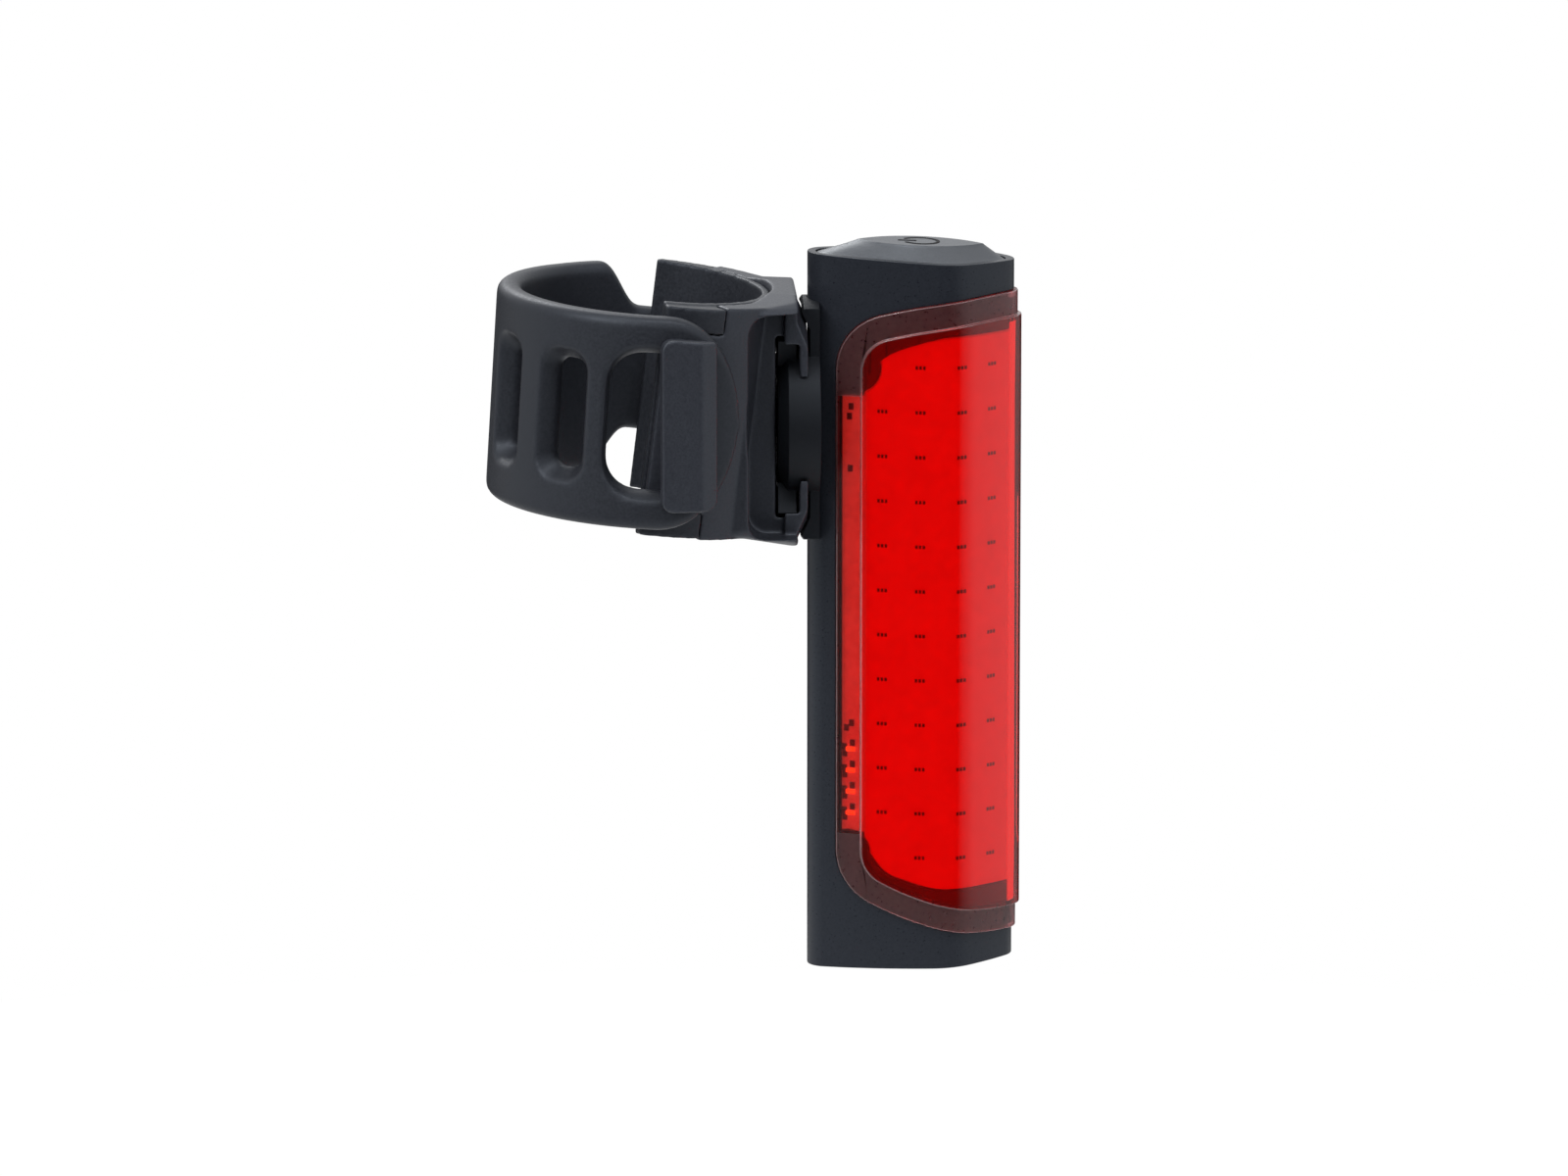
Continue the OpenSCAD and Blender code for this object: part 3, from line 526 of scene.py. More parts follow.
@dataclass(frozen=True)
class LightSizes:
    """Sizes of the light, in millimetres, from its front edge and turning axis."""

    section: BodySection = BodySection()
    origin: tuple[float, float, float] = (20.6, 0.0, -3.0)
    height: float = 87.0
    rim_up: float = 20.2
    end_drop: float = 1.1
    rim_w: float = 1.0
    wall: float = 1.6
    lens_front: float = 3.3
    lens_top: float = 3.7
    lens_bottom: float = 3.45
    flange_w: float = 2.9
    flange_proud: float = 0.45
    lens_proud: float = 0.9
    rebate: float = 0.95
    gasket: float = 0.2
    top_edge_r: float = 60.0
    low_edge_r: float = 40.0
    top_corner_r: float = 7.0
    bottom_corner_r: float = 7.0
    top_lobe: tuple[float, float, float] = (2.35, 0.3, 3.05)
    low_lobe: tuple[float, float, float] = (1.7, -0.2, 2.45)
    strip_front: float = 0.35
    strip_rear: float = 5.8
    strip_low: float = 2.1
    strip_top: float = 3.1
    panel_front: float = 3.7
    panel_top: float = 4.0
    panel_low: float = 4.4
    beyond: float = 20.0

    @property
    def bottom(self) -> float:
        """Height of the bottom end at the front edge."""
        return self.rim_up - self.height

    @property
    def lens_top_z(self) -> float:
        """Height of the lens's top edge at the nose."""
        return self.rim_up - self.end_drop - self.lens_top

    @property
    def lens_low_z(self) -> float:
        """Height of the lens's bottom edge at the nose."""
        return self.bottom + self.end_drop + self.lens_bottom

    @property
    def slope(self) -> float:
        """Slope of the end faces, in radians."""
        return math.atan(self.end_drop / self.section.length)

    @property
    def place(self) -> Matrix:
        """Where the light's own axes lie in the part."""
        return Matrix.Translation(self.origin)

    @property
    def top_place(self) -> Matrix:
        """Axes of the top end, from the rim."""
        return self.place @ Matrix.Translation((0, 0, self.rim_up)) @ Matrix.Rotation(self.slope, 4, "Y")

    @property
    def bottom_place(self) -> Matrix:
        """Axes of the bottom end, from the rim."""
        return self.place @ Matrix.Translation((0, 0, self.bottom)) @ Matrix.Rotation(-self.slope, 4, "Y")

    @property
    def side_place(self) -> Matrix:
        """Axes of a side view, its second axis upwards."""
        return self.place @ Matrix.Rotation(math.pi / 2, 4, "X")

    def corner(self, edge: Point2, edge_r: float, radius: float, side: int) -> Point2:
        """Centre of a lens corner that touches the front edge and a long edge arc.

        Args:
            edge: Centre of the long edge arc.
            edge_r: Radius of the long edge arc.
            radius: Corner radius.
            side: 1 for the top corner, -1 for the bottom one.

        Returns:
            The corner's centre.
        """
        x = self.lens_front + radius
        return (x, edge[1] + side * math.sqrt((edge_r - radius) ** 2 - (x - edge[0]) ** 2))

    def lens_view(self, inset: float, steps: int = 12) -> list[Point2]:
        """Side view of the lens.

        Args:
            inset: Distance that it is drawn in by.
            steps: Steps in each arc.

        Returns:
            The closed outline's points.
        """
        x, top_z, low_z = self.section.length, self.lens_top_z, self.lens_low_z
        top_edge, low_edge = (x, top_z - self.top_edge_r), (x, low_z + self.low_edge_r)
        top_c, low_c = self.corners
        top_a, low_a = heading(top_edge, top_c), heading(low_edge, low_c) + 2 * math.pi
        points = arc(top_edge, self.top_edge_r - inset, math.pi / 2, top_a, steps)
        points += arc(top_c, self.top_corner_r - inset, top_a, math.pi, steps)
        points += arc(low_c, self.bottom_corner_r - inset, math.pi, low_a, steps)
        points += arc(low_edge, self.low_edge_r - inset, low_a, 1.5 * math.pi, steps)
        points += [(x + self.beyond, low_z + inset), (x + self.beyond, top_z - inset)]
        return tidy_loop(points)

    @property
    def corners(self) -> tuple[Point2, Point2]:
        """Centres of the lens's top and bottom corners."""
        x = self.section.length
        top_edge, low_edge = (x, self.lens_top_z - self.top_edge_r), (x, self.lens_low_z + self.low_edge_r)
        return (self.corner(top_edge, self.top_edge_r, self.top_corner_r, 1),
                self.corner(low_edge, self.low_edge_r, self.bottom_corner_r, -1))

    def lobe_views(self, gap: float) -> list[list[Point2]]:
        """Side views of the round lobes in the window's front corners.

        Args:
            gap: Distance that they are grown by.

        Returns:
            The two closed outlines.
        """
        return [circle((self.lens_front + x, corner[1] + z), r + gap)
                for corner, (x, z, r) in zip(self.corners, (self.top_lobe, self.low_lobe))]

    def strip_view(self) -> list[Point2]:
        """Side view of the strip in front of the lens's middle.

        Returns:
            The closed outline's points.
        """
        top_c, low_c = self.corners
        x0, x1 = self.lens_front + self.strip_front, self.lens_front + self.strip_rear
        low, top = low_c[1] + self.strip_low, top_c[1] - self.strip_top
        return [(x0, low), (x1, low), (x1, top), (x0, top)]

    def panel_view(self, grow: float) -> list[Point2]:
        """Side view of the coated panel.

        Args:
            grow: Distance that it is grown by.

        Returns:
            The closed outline's points.
        """
        top_c, low_c = self.corners
        left, far, g = self.lens_front + self.panel_front, self.section.length + self.beyond, grow
        top, low, slant = top_c[1] + self.panel_top, low_c[1] - self.panel_low, 0.7 * grow
        corners = ((far, top + g, 0), (left + 9, top + 0.1 + g, 14), (left + 2.6 - slant, top - 1.6 + slant, 3),
                   (left - g, top - 6, 4), (left - g, low + 5.0, 3), (left + 2.3 - slant, low + 1.7 - slant, 4),
                   (left + 7.8, low - g, 12), (far, low - g, 0))
        return rounded([(x, z) for x, z, _ in corners], [radius for _, _, radius in corners])

    def wrap(self, outer: float, inner: float) -> Solid:
        """A layer that wraps the whole body between two depths.

        Args:
            outer: Depth of its outer face, negative above the surface.
            inner: Depth of its inner face.

        Returns:
            The layer.
        """
        ring = Solid.prism(self.section.loop(outer), self.bottom, self.rim_up, self.place)
        core = Solid.prism(self.section.loop(inner), self.bottom - 1, self.rim_up + 1, self.place)
        return ring.meet(Join.CUT, core)

    def window(self, views: Sequence[Sequence[Point2]], gap: float) -> Solid:
        """Columns through side views, clear of the window's lobes.

        Args:
            views: Side views that are filled.
            gap: Gap to the lobes.

        Returns:
            The columns as one solid.
        """
        shape = Solid.through(views[0], self.side_place)
        for view in views[1:]:
            shape = shape.meet(Join.ADD, Solid.through(view, self.side_place, self.beyond - 1))
        for view in self.lobe_views(gap):
            shape = shape.meet(Join.CUT, Solid.through(view, self.side_place, self.beyond + 1))
        return shape


class Solid:
    """A closed mesh in millimetres that can be joined to, cut by or kept within others."""

    def __init__(self, mesh: bpy.types.Mesh) -> None:
        """Wraps a mesh.

        Args:
            mesh: The mesh, in millimetres.
        """
        self.mesh = mesh

    @classmethod
    def prism(cls, outline: Sequence[Point2], low: float, high: float, place: Matrix | None = None) -> Solid:
        """A straight column on an outline.

        Args:
            outline: Closed outline.
            low: Lower end.
            high: Upper end.
            place: Axes of the outline.

        Returns:
            The solid.
        """
        return cls.sloped(outline, lambda x: low, lambda x: high, place)

    @classmethod
    def through(cls, outline: Sequence[Point2], place: Matrix | None = None, reach: float = 20.0) -> Solid:
        """A column on an outline that goes right through the light.

        Args:
            outline: Closed outline.
            place: Axes of the outline.
            reach: Reach to each side.

        Returns:
            The solid.
        """
        return cls.prism(outline, -reach, reach, place)

    @classmethod
    def sloped(cls, outline: Sequence[Point2], low: Callable[[float], float], high: Callable[[float], float],
               place: Matrix | None = None) -> Solid:
        """A column whose ends slope along its first axis.

        Args:
            outline: Closed outline.
            low: Lower end at a place along the first axis.
            high: Upper end at a place along the first axis.
            place: Axes of the outline.

        Returns:
            The solid.
        """
        place = place or Matrix.Identity(4)
        work = bmesh.new()
        bottom = [work.verts.new(place @ Vector((x, y, low(x)))) for x, y in outline]
        top = [work.verts.new(place @ Vector((x, y, high(x)))) for x, y in outline]
        n = len(outline)
        work.faces.new(list(reversed(bottom)))
        work.faces.new(top)
        for i in range(n):
            j = (i + 1) % n
            work.faces.new((bottom[i], bottom[j], top[j], top[i]))
        return cls._from_work(work)

    @classmethod
    def loft(cls, rings: Sequence[Sequence[Vector]]) -> Solid:
        """A solid through rings of equally many points, closed at both ends.

        Args:
            rings: Rings in order.

        Returns:
            The solid.
        """
        work = bmesh.new()
        made = [[work.verts.new(p) for p in ring] for ring in rings]
        n = len(made[0])
        for a, b in zip(made, made[1:]):
            for i in range(n):
                j = (i + 1) % n
                work.faces.new((a[i], a[j], b[j], b[i]))
        work.faces.new(list(reversed(made[0])))
        work.faces.new(made[-1])
        return cls._from_work(work)

    @classmethod
    def boxes(cls, places: Iterable[Matrix], size: Sequence[float]) -> Solid:
        """Equal boxes at several places.

        Args:
            places: Middle and axes of each box.
            size: Size of each box.

        Returns:
            The boxes as one mesh.
        """
        work = bmesh.new()
        for place in places:
            bmesh.ops.create_cube(work, size=1.0, matrix=place @ Matrix.Diagonal((*size, 1.0)))
        return cls._from_work(work)

    @classmethod
    def of_node(cls, node: bpy.types.Object) -> Solid:
        """A copy of a CAD node, welded, with its flat faces whole again.

        Args:
            node: The CAD node.

        Returns:
            The solid.
        """
        work = bmesh.new()
        work.from_mesh(node.data)
        bmesh.ops.scale(work, vec=(1 / MM,) * 3, verts=work.verts)
        bmesh.ops.remove_doubles(work, verts=work.verts, dist=0.002)
        bmesh.ops.dissolve_limit(work, angle_limit=math.radians(0.6), verts=work.verts, edges=work.edges)
        return cls._from_work(work)

    @classmethod
    def _from_work(cls, work: bmesh.types.BMesh) -> Solid:
        """Turns a working mesh into a solid with its faces outwards.

        Args:
            work: The working mesh, freed here.

        Returns:
            The solid.
        """
        bmesh.ops.recalc_face_normals(work, faces=work.faces)
        mesh = bpy.data.meshes.new("solid")
        work.to_mesh(mesh)
        work.free()
        return cls(mesh)

    def _with(self, change: Callable[[bpy.types.Object], None]) -> Solid:
        """Applies modifiers and gives the outcome.

        Args:
            change: Adds the modifiers to an object.

        Returns:
            The changed solid.
        """
        obj = bpy.data.objects.new("work", self.mesh)
        bpy.context.scene.collection.objects.link(obj)
        change(obj)
        graph = bpy.context.evaluated_depsgraph_get()
        mesh = bpy.data.meshes.new_from_object(obj.evaluated_get(graph), depsgraph=graph)
        bpy.data.objects.remove(obj)
        return Solid(mesh)

    def meet(self, how: Join, other: Solid) -> Solid:
        """Joins this solid to another, cuts it or keeps what they share.

        Args:
            how: The way in which they meet.
            other: The other solid.

        Returns:
            The new solid.
        """
        tool = bpy.data.objects.new("tool", other.mesh)
        bpy.context.scene.collection.objects.link(tool)

        def change(obj: bpy.types.Object) -> None:
            """Adds the joining.

            Args:
                obj: The object that is changed.
            """
            modifier = obj.modifiers.new("meet", "BOOLEAN")
            modifier.operation = how.value
            modifier.solver = "EXACT"
            modifier.object = tool

        result = self._with(change)
        bpy.data.objects.remove(tool)
        return result

    def weld(self, dist: float) -> Solid:
        """Merges points that lie close together.

        Args:
            dist: Points nearer than this are merged.

        Returns:
            The cleaned solid.
        """
        work = bmesh.new()
        work.from_mesh(self.mesh)
        bmesh.ops.remove_doubles(work, verts=work.verts, dist=dist)
        return self._from_work(work)

    def soften(self, width: float, steps: int = 3, angle: float = 32.0, marked: bool = False,
               clamped: bool = True) -> Solid:
        """Rounds the sharp edges.

        Args:
            width: Width of the rounding.
            steps: Steps across it.
            angle: Edges sharper than this are rounded, in degrees.
            marked: Gives the rounding's faces the lens's edge zone, whose pale finish is a painted glint.
            clamped: Narrows the rounding to what the shortest edge allows.

        Returns:
            The rounded solid.
        """

        def change(obj: bpy.types.Object) -> None:
            """Adds the rounding.

            Args:
                obj: The object that is changed.
            """
            modifier = obj.modifiers.new("edges", "BEVEL")
            modifier.width = width
            modifier.segments = steps
            modifier.limit_method = "ANGLE"
            modifier.angle_limit = math.radians(angle)
            modifier.use_clamp_overlap = clamped
            modifier.miter_outer = "MITER_ARC"
            if marked:
                obj.data.materials.append(None)
                obj.data.materials.append(None)
                modifier.material = Zone.PAINTED_GLINT

        return self._with(change)

    def melt(self, voxel: float, rounds: int) -> Solid:
        """Makes the solid over in small even faces and smooths it, as soft rubber.

        Args:
            voxel: Size of the faces.
            rounds: Rounds of smoothing.

        Returns:
            The soft solid.
        """

        def change(obj: bpy.types.Object) -> None:
            """Adds the even faces and the smoothing.

            Args:
                obj: The object that is changed.
            """
            remesh = obj.modifiers.new("even", "REMESH")
            remesh.mode = "VOXEL"
            remesh.voxel_size = voxel
            smooth = obj.modifiers.new("soft", "SMOOTH")
            smooth.factor = 0.5
            smooth.iterations = rounds

        return self._with(change)

    def bend(self, move: Callable[[np.ndarray], np.ndarray]) -> Solid:
        """Moves every point.

        Args:
            move: Gives the new points for an array of points.

        Returns:
            This solid.
        """
        count = len(self.mesh.vertices)
        points = np.empty(count * 3)
        self.mesh.vertices.foreach_get("co", points)
        moved = move(points.reshape(count, 3))
        self.mesh.vertices.foreach_set("co", moved.reshape(-1))
        self.mesh.update()
        return self

    def show(self, name: str, body: Body, material: bpy.types.Material, nodes: Sequence[str] = (),
             slot: Slot | None = None, sharp: float = 38.0) -> bpy.types.Object:
        """Puts the solid in the scene on a body of the part.

        Args:
            name: Name of the object.
            body: Body that it moves with.
            material: Its material.
            nodes: CAD nodes that it stands for.
            slot: The record's material slot; not used.
            sharp: Edges sharper than this stay sharp, in degrees.

        Returns:
            The object.
        """
        self.mesh.transform(Matrix.Diagonal((MM, MM, MM, 1.0)))
        self.mesh.shade_smooth()
        self.mesh.set_sharp_from_angle(angle=math.radians(sharp))
        if self.mesh.materials:
            self.mesh.materials[0] = material
        else:
            self.mesh.materials.append(material)
        self.mesh.name = name
        obj = bpy.data.objects.new(name, self.mesh)
        bpy.context.scene.collection.objects.link(obj)
        normals = obj.modifiers.new("normals", "WEIGHTED_NORMAL")
        normals.keep_sharp = True
        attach(obj, body.value)
        if nodes:
            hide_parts(*nodes)
        LOG.info("piece %s on %s, %d faces", name, body.value, len(self.mesh.polygons))
        return obj


# Sub-assemblies


@dataclass
class LightBody:
    """Black shell of the light with its rims, recesses and window."""

    sizes: LightSizes
    palette: Palette
    floor_t: float = 3.0
    deck_t: float = 3.4
    top_recess: float = 2.2
    bottom_recess: float = 1.8
    above: float = 2.0
    socket_x: float = 13.0
    socket: tuple[float, float, float] = (9.44, 3.76, 1.87)
    socket_z: Point2 = (0.5, 4.0)
    stem: Point2 = (13.2, 0.0)
    stem_r: float = 1.7
    stem_z: Point2 = (-4.0, -1.0)
    lens_gap: float = 0.05
    window_gap: float = 0.25
    weld: float = 0.2
    edge_r: float = 0.14

    def hollow(self) -> Solid:
        """The shell with its cavity and the openings of its ends.

        Returns:
            The shell before the lens's rebate and window are cut.
        """
        s = self.sizes
        tilt = math.tan(s.slope)
        shell = Solid.sloped(s.section.loop(0.0), lambda x: s.bottom + x * tilt,
                             lambda x: s.rim_up - x * tilt, s.place)
        cavity = Solid.sloped(s.section.loop(s.wall), lambda x: s.bottom + x * tilt + self.floor_t,
                              lambda x: s.rim_up - x * tilt - self.deck_t, s.place)
        rim = s.section.loop(s.rim_w)
        slot = [(x + self.socket_x, y) for x, y in round_rect(*self.socket)]
        for cutter in (cavity,
                       Solid.prism(rim, -self.top_recess, self.above, s.top_place),
                       Solid.prism(rim, -self.above, self.bottom_recess, s.bottom_place),
                       Solid.prism(slot, *self.socket_z, s.bottom_place),
                       Solid.prism(circle(self.stem, self.stem_r, 32), *self.stem_z, s.top_place)):
            shell = shell.meet(Join.CUT, cutter)
        return shell

    def build(self) -> None:
        """Makes the shell."""
        s = self.sizes
        rebate = Solid.through(s.lens_view(-self.lens_gap), s.side_place)
        rebate = rebate.meet(Join.CUT, Solid.prism(s.section.loop(s.rebate), s.bottom - 1, s.rim_up + 1, s.place))
        shell = self.hollow().meet(Join.CUT, rebate)
        shell = shell.meet(Join.CUT, s.window([s.panel_view(self.window_gap), s.strip_view()], 0.0))
        shell.weld(self.weld).soften(self.edge_r, steps=2, clamped=False).show(
            "light_shell", Body.LIGHT, self.palette.get(Slot.PLASTIC), ["body_shell"], Slot.PLASTIC)


@dataclass
class Lens:
    """Clear red cover with its flange and raised middle."""

    sizes: LightSizes
    palette: Palette
    seam: float = 0.01
    weld: float = 0.28
    edge_r: float = 0.12
    middle_gap: float = 0.05

    def layer(self, out: float, depth: float, inset: float) -> Solid:
        """One wrapped layer of the lens.

        Args:
            out: Height above the body's surface.
            depth: Depth below the body's surface.
            inset: Inset of the layer's outline.

        Returns:
            The layer.
        """
        s = self.sizes
        return s.wrap(-out, depth).meet(Join.KEEP, Solid.through(s.lens_view(inset), s.side_place))

    def build(self) -> None:
        """Makes the lens."""
        s = self.sizes
        depth = s.rebate - s.gasket
        flange = self.layer(s.flange_proud, depth, 0.0)
        inside = Solid.through(s.lens_view(s.flange_w + self.seam), s.side_place, s.beyond + 1)
        flange = flange.meet(Join.CUT, inside)
        middle = self.layer(s.lens_proud, depth, s.flange_w)
        whole = flange.meet(Join.ADD, middle).weld(self.weld)
        cover = whole.soften(self.edge_r, steps=2, marked=True, clamped=False).show(
            "red_lens_cover", Body.LIGHT, self.palette.get(Slot.LENS), ["lens"], Slot.LENS)
        # The rounded edges get a pale pink glossy finish as painted glints.
        cover.data.materials[Zone.PAINTED_GLINT.value] = self.palette.edge.build()
        for finish in (self.palette.frost, self.palette.thin):
            cover.data.materials.append(finish.build())
        strip, middle_view = s.strip_view(), s.lens_view(s.flange_w - self.middle_gap)
        self.split(cover.data, (strip[0][1], strip[2][1]))
        shift = Vector(s.origin)
        points = [vertex.co / MM - shift for vertex in cover.data.vertices]
        raised = [self.within(middle_view, (p.x, p.z)) for p in points]
        for face in cover.data.polygons:
            if face.material_index == Zone.PAINTED_GLINT:
                continue
            centre = face.center / MM - shift
            front = Zone.STRIP if self.within(strip, (centre.x, centre.z)) else Zone.FLANGE
            face.material_index = Zone.CLEAR if all(raised[i] for i in face.vertices) else front

    def split(self, mesh: bpy.types.Mesh, heights: Iterable[float]) -> None:
        """Splits a mesh's faces at level planes.

        Args:
            mesh: The mesh, in metres.
            heights: Heights of the planes in the light's axes.
        """
        work = bmesh.new()
        work.from_mesh(mesh)
        for z in heights:
            bmesh.ops.bisect_plane(work, geom=work.verts[:] + work.edges[:] + work.faces[:], dist=1e-7,
                                   plane_co=(0, 0, (z + self.sizes.origin[2]) * MM), plane_no=(0, 0, 1))
        work.to_mesh(mesh)
        work.free()

    @staticmethod
    def within(loop: Sequence[Point2], point: Point2) -> bool:
        """Tells whether a point lies within an outline.

        Args:
            loop: The closed outline.
            point: The point.

        Returns:
            True inside the outline.
        """
        inside = False
        for (x0, y0), (x1, y1) in zip(loop, list(loop[1:]) + [loop[0]]):
            if (y0 > point[1]) != (y1 > point[1]) and point[0] < x0 + (x1 - x0) * (point[1] - y0) / (y1 - y0):
                inside = not inside
        return inside


@dataclass
class LedPanel:
    """Coated strip of chips under the lens."""

    sizes: LightSizes
    palette: Palette
    columns: tuple[float, ...] = (8.6, 13.1, 18.5, 22.0)
    rows: int = 12
    pitch: float = 5.42
    lamp_x: float = 4.8
    lamp_z: tuple[float, ...] = (-39.8, -42.4, -45.0, -47.6)
    rise: float = 0.6
    coating: Point2 = (1.0, 1.28)
    coating_gap: float = 0.2
    board: Point2 = (1.3, 1.5)
    board_gap: float = 0.1
    mark_step: float = 0.45
    mark_depth: float = 1.0
    mark_size: tuple[float, float, float] = (0.3, 0.06, 0.42)
    lamp_depth: float = 1.1
    lamp_size: tuple[float, float, float] = (1.1, 0.36, 0.5)
    part_depth: float = 1.2
    part_size: tuple[float, float, float] = (0.6, 0.18, 0.8)
    by_lamp: tuple[Point2, ...] = ((-0.75, 0.25), (-0.7, -0.55), (0.2, 0.75))
    in_strip: tuple[Point2, ...] = ((4.3, -37.2), (4.9, -36.6), (4.7, -5.6), (4.8, 1.9), (4.6, 0.7))

    def seat(self, side: int, x: float, z: float, depth: float) -> Matrix:
        """Place on a flank.

        Args:
            side: 1 for the far flank, -1 for the near one.
            x: Distance from the front edge.
            z: Height in the light's axes.
            depth: Depth below the surface.

        Returns:
            The place, its second axis square to the surface.
        """
        section = self.sizes.section
        place = Matrix.Translation((x, side * section.half_at(x), z))
        turn = Matrix.Rotation(side * section.slope_at(x), 4, "Z")
        return self.sizes.place @ place @ turn @ Matrix.Translation((0, -side * depth, 0))

    def marks(self, shift: float) -> list[Matrix]:
        """Places of the chips' marks on both flanks.

        Args:
            shift: Shift along the surface.

        Returns:
            The places.
        """
        s = self.sizes
        middle = (s.rim_up + s.bottom - s.lens_top + s.lens_bottom) / 2 + self.rise
        places: list[Matrix] = []
        for side in (-1, 1):
            for row in range(self.rows):
                z = middle + (row - (self.rows - 1) / 2) * self.pitch
                for x in self.columns:
                    if row in (0, self.rows - 1) and x == self.columns[0]:
                        continue
                    places.append(self.seat(side, x, z, self.mark_depth) @ Matrix.Translation((shift, 0, 0)))
        return places

    def ring(self, depths: Point2, views: Sequence[Sequence[Point2]], gap: float) -> Solid:
        """A wrapped layer under the lens, clear of the window's lobes.

        Args:
            depths: Depths of its outer and inner faces.
            views: Side views that it fills.
            gap: Gap to the lobes.

        Returns:
            The layer.
        """
        return self.sizes.wrap(*depths).meet(Join.KEEP, self.sizes.window(views, gap))

    def build(self) -> None:
        """Makes the board, the coating, the marks and the strip's small pieces."""
        s, get, gap = self.sizes, self.palette.get, self.board_gap
        # The coating and the board glow with painted light from their finishes.
        self.ring(self.coating, [s.panel_view(0.0)], self.coating_gap).soften(0.08).show(
            "chip_coating", Body.LIGHT, get(Slot.COATING), ["led_coating"], Slot.COATING)
        (x0, low), (x1, _), (_, top), _ = s.strip_view()
        inner = [(x0 + gap, low + gap), (x1, low + gap), (x1, top - gap), (x0 + gap, top - gap)]
        self.ring(self.board, [s.panel_view(gap), inner], gap).show(
            "flexible_board", Body.LIGHT, get(Slot.FLEX), ["led_board"], Slot.FLEX)
        marks = self.marks(-self.mark_step) + self.marks(0.0) + self.marks(self.mark_step)
        Solid.boxes(marks, self.mark_size).show(
            "chip_marks", Body.LIGHT, get(Slot.CHIP), ["led_chips"], Slot.CHIP)
        lamps = [self.seat(-1, self.lamp_x, z, self.lamp_depth) for z in self.lamp_z]
        Solid.boxes(lamps, self.lamp_size).soften(0.06).show(
            "indicator_lamps", Body.LIGHT, get(Slot.AMBER), ["indicator_leds"], Slot.AMBER)
        spots = [(self.lamp_x + dx, z + dz) for z in self.lamp_z for dx, dz in self.by_lamp]
        small = [self.seat(-1, x, z, self.part_depth) for x, z in (*spots, *self.in_strip)]
        Solid.boxes(small, self.part_size).soften(0.05).show(
            "strip_parts", Body.LIGHT, self.palette.strip_part.build(), (), Slot.CHIP)


@dataclass
class PowerButton:
    """Rubber cap in the top end with a raised pointed oval and a power sign."""

    sizes: LightSizes
    palette: Palette
    middle: float = 13.4
    half_length: float = 7.4
    half_width: float = 3.3
    rise: float = 1.6
    edge_gap: float = 0.14
    stem: Point2 = (13.2, 0.0)
    stem_r: float = 1.4
    stem_z: Point2 = (-4.9, -1.0)
    skirt: tuple[Point2, ...] = ((0.0, -1.5), (0.0, -0.28), (0.012, -0.17), (0.04, -0.12))
    crown: tuple[Point2, ...] = ((0.965, -0.06), (0.985, -0.02), (1.01, 0.0))
    sign_r: Point2 = (2.3, 1.9)
    sign_gap: float = math.radians(32)
    sign_z: Point2 = (-0.15, 0.06)
    stroke: Point2 = (-2.7, -0.5)
    stroke_half: float = 0.2

    def ring(self, share: float, height: float, points: int = 120) -> list[Vector]:
        """One ring between the cap's edge and its oval.

        Args:
            share: 0 at the edge, 1 at the oval.
            height: Height above the rim.
            points: Points in the ring.

        Returns:
            The ring's points in the part's axes.
        """
        s = self.sizes
        edge = s.section.loop(s.rim_w + self.edge_gap)
        made: list[Vector] = []
        for i in range(points):
            a = 2 * math.pi * i / points
            ray = self.reach(edge, a)
            back = (self.half_length ** 2 - self.half_width ** 2) / (2 * self.half_width) * abs(math.sin(a))
            oval = math.sqrt(back ** 2 + self.half_length ** 2) - back
            r = ray + (min(oval, ray) - ray) * share
            made.append(s.top_place @ Vector((self.middle + r * math.cos(a), r * math.sin(a), height)))
        return made

    def reach(self, loop: Sequence[Point2], angle: float) -> float:
        """Distance from the cap's middle to an outline.

        Args:
            loop: The outline.
            angle: Direction in radians.

        Returns:
            The distance.
        """
        dx, dy = math.cos(angle), math.sin(angle)
        best = 0.0
        for (x0, y0), (x1, y1) in zip(loop, list(loop[1:]) + [loop[0]]):
            ex, ey = x1 - x0, y1 - y0
            det = dx * -ey + ex * dy
            if abs(det) < 1e-12:
                continue
            px, py = x0 - self.middle, y0
            t = (px * -ey + ex * py) / det
            u = (dx * py - dy * px) / det
            if t > 0 and -1e-9 <= u <= 1 + 1e-9:
                best = max(best, t)
        return best

    def build(self) -> None:
        """Makes the cap and its sign."""
        steps = list(self.skirt)
        steps += [(0.06 + 0.88 * i / 6, -0.10 + (self.rise - 0.03) * i / 6) for i in range(0, 7)]
        steps += [(share, self.rise + z) for share, z in self.crown]
        cap = Solid.loft([self.ring(share, height) for share, height in steps])
        stem = circle(self.stem, self.stem_r, 32)
        cap = cap.meet(Join.ADD, Solid.prism(stem, *self.stem_z, self.sizes.top_place))
        # The cap's lighter finish is painted light from above.
        cap.show("button_cap", Body.BUTTON, self.palette.cap.build(), ["power_button"], Slot.RUBBER, 50.0)
        self.sign()

    def sign(self) -> None:
        """Makes the raised power sign on the oval."""
        outer, inner = self.sign_r
        start, end = -math.pi + self.sign_gap, math.pi - self.sign_gap
        line = arc((self.middle, 0), outer, start, end, 48) + arc((self.middle, 0), inner, end, start, 48)
        x0, x1 = (self.middle + x for x in self.stroke)
        bar = [(x0, -self.stroke_half), (x1, -self.stroke_half), (x1, self.stroke_half), (x0, self.stroke_half)]
        low, high = (self.rise + z for z in self.sign_z)
        ring = Solid.prism(tidy_loop(line), low, high, self.sizes.top_place)
        stroke = Solid.prism(bar, low, high, self.sizes.top_place)
        # The sign's dark finish is painted shade.
        ring.meet(Join.ADD, stroke).show("power_sign", Body.BUTTON, self.palette.sign.build())


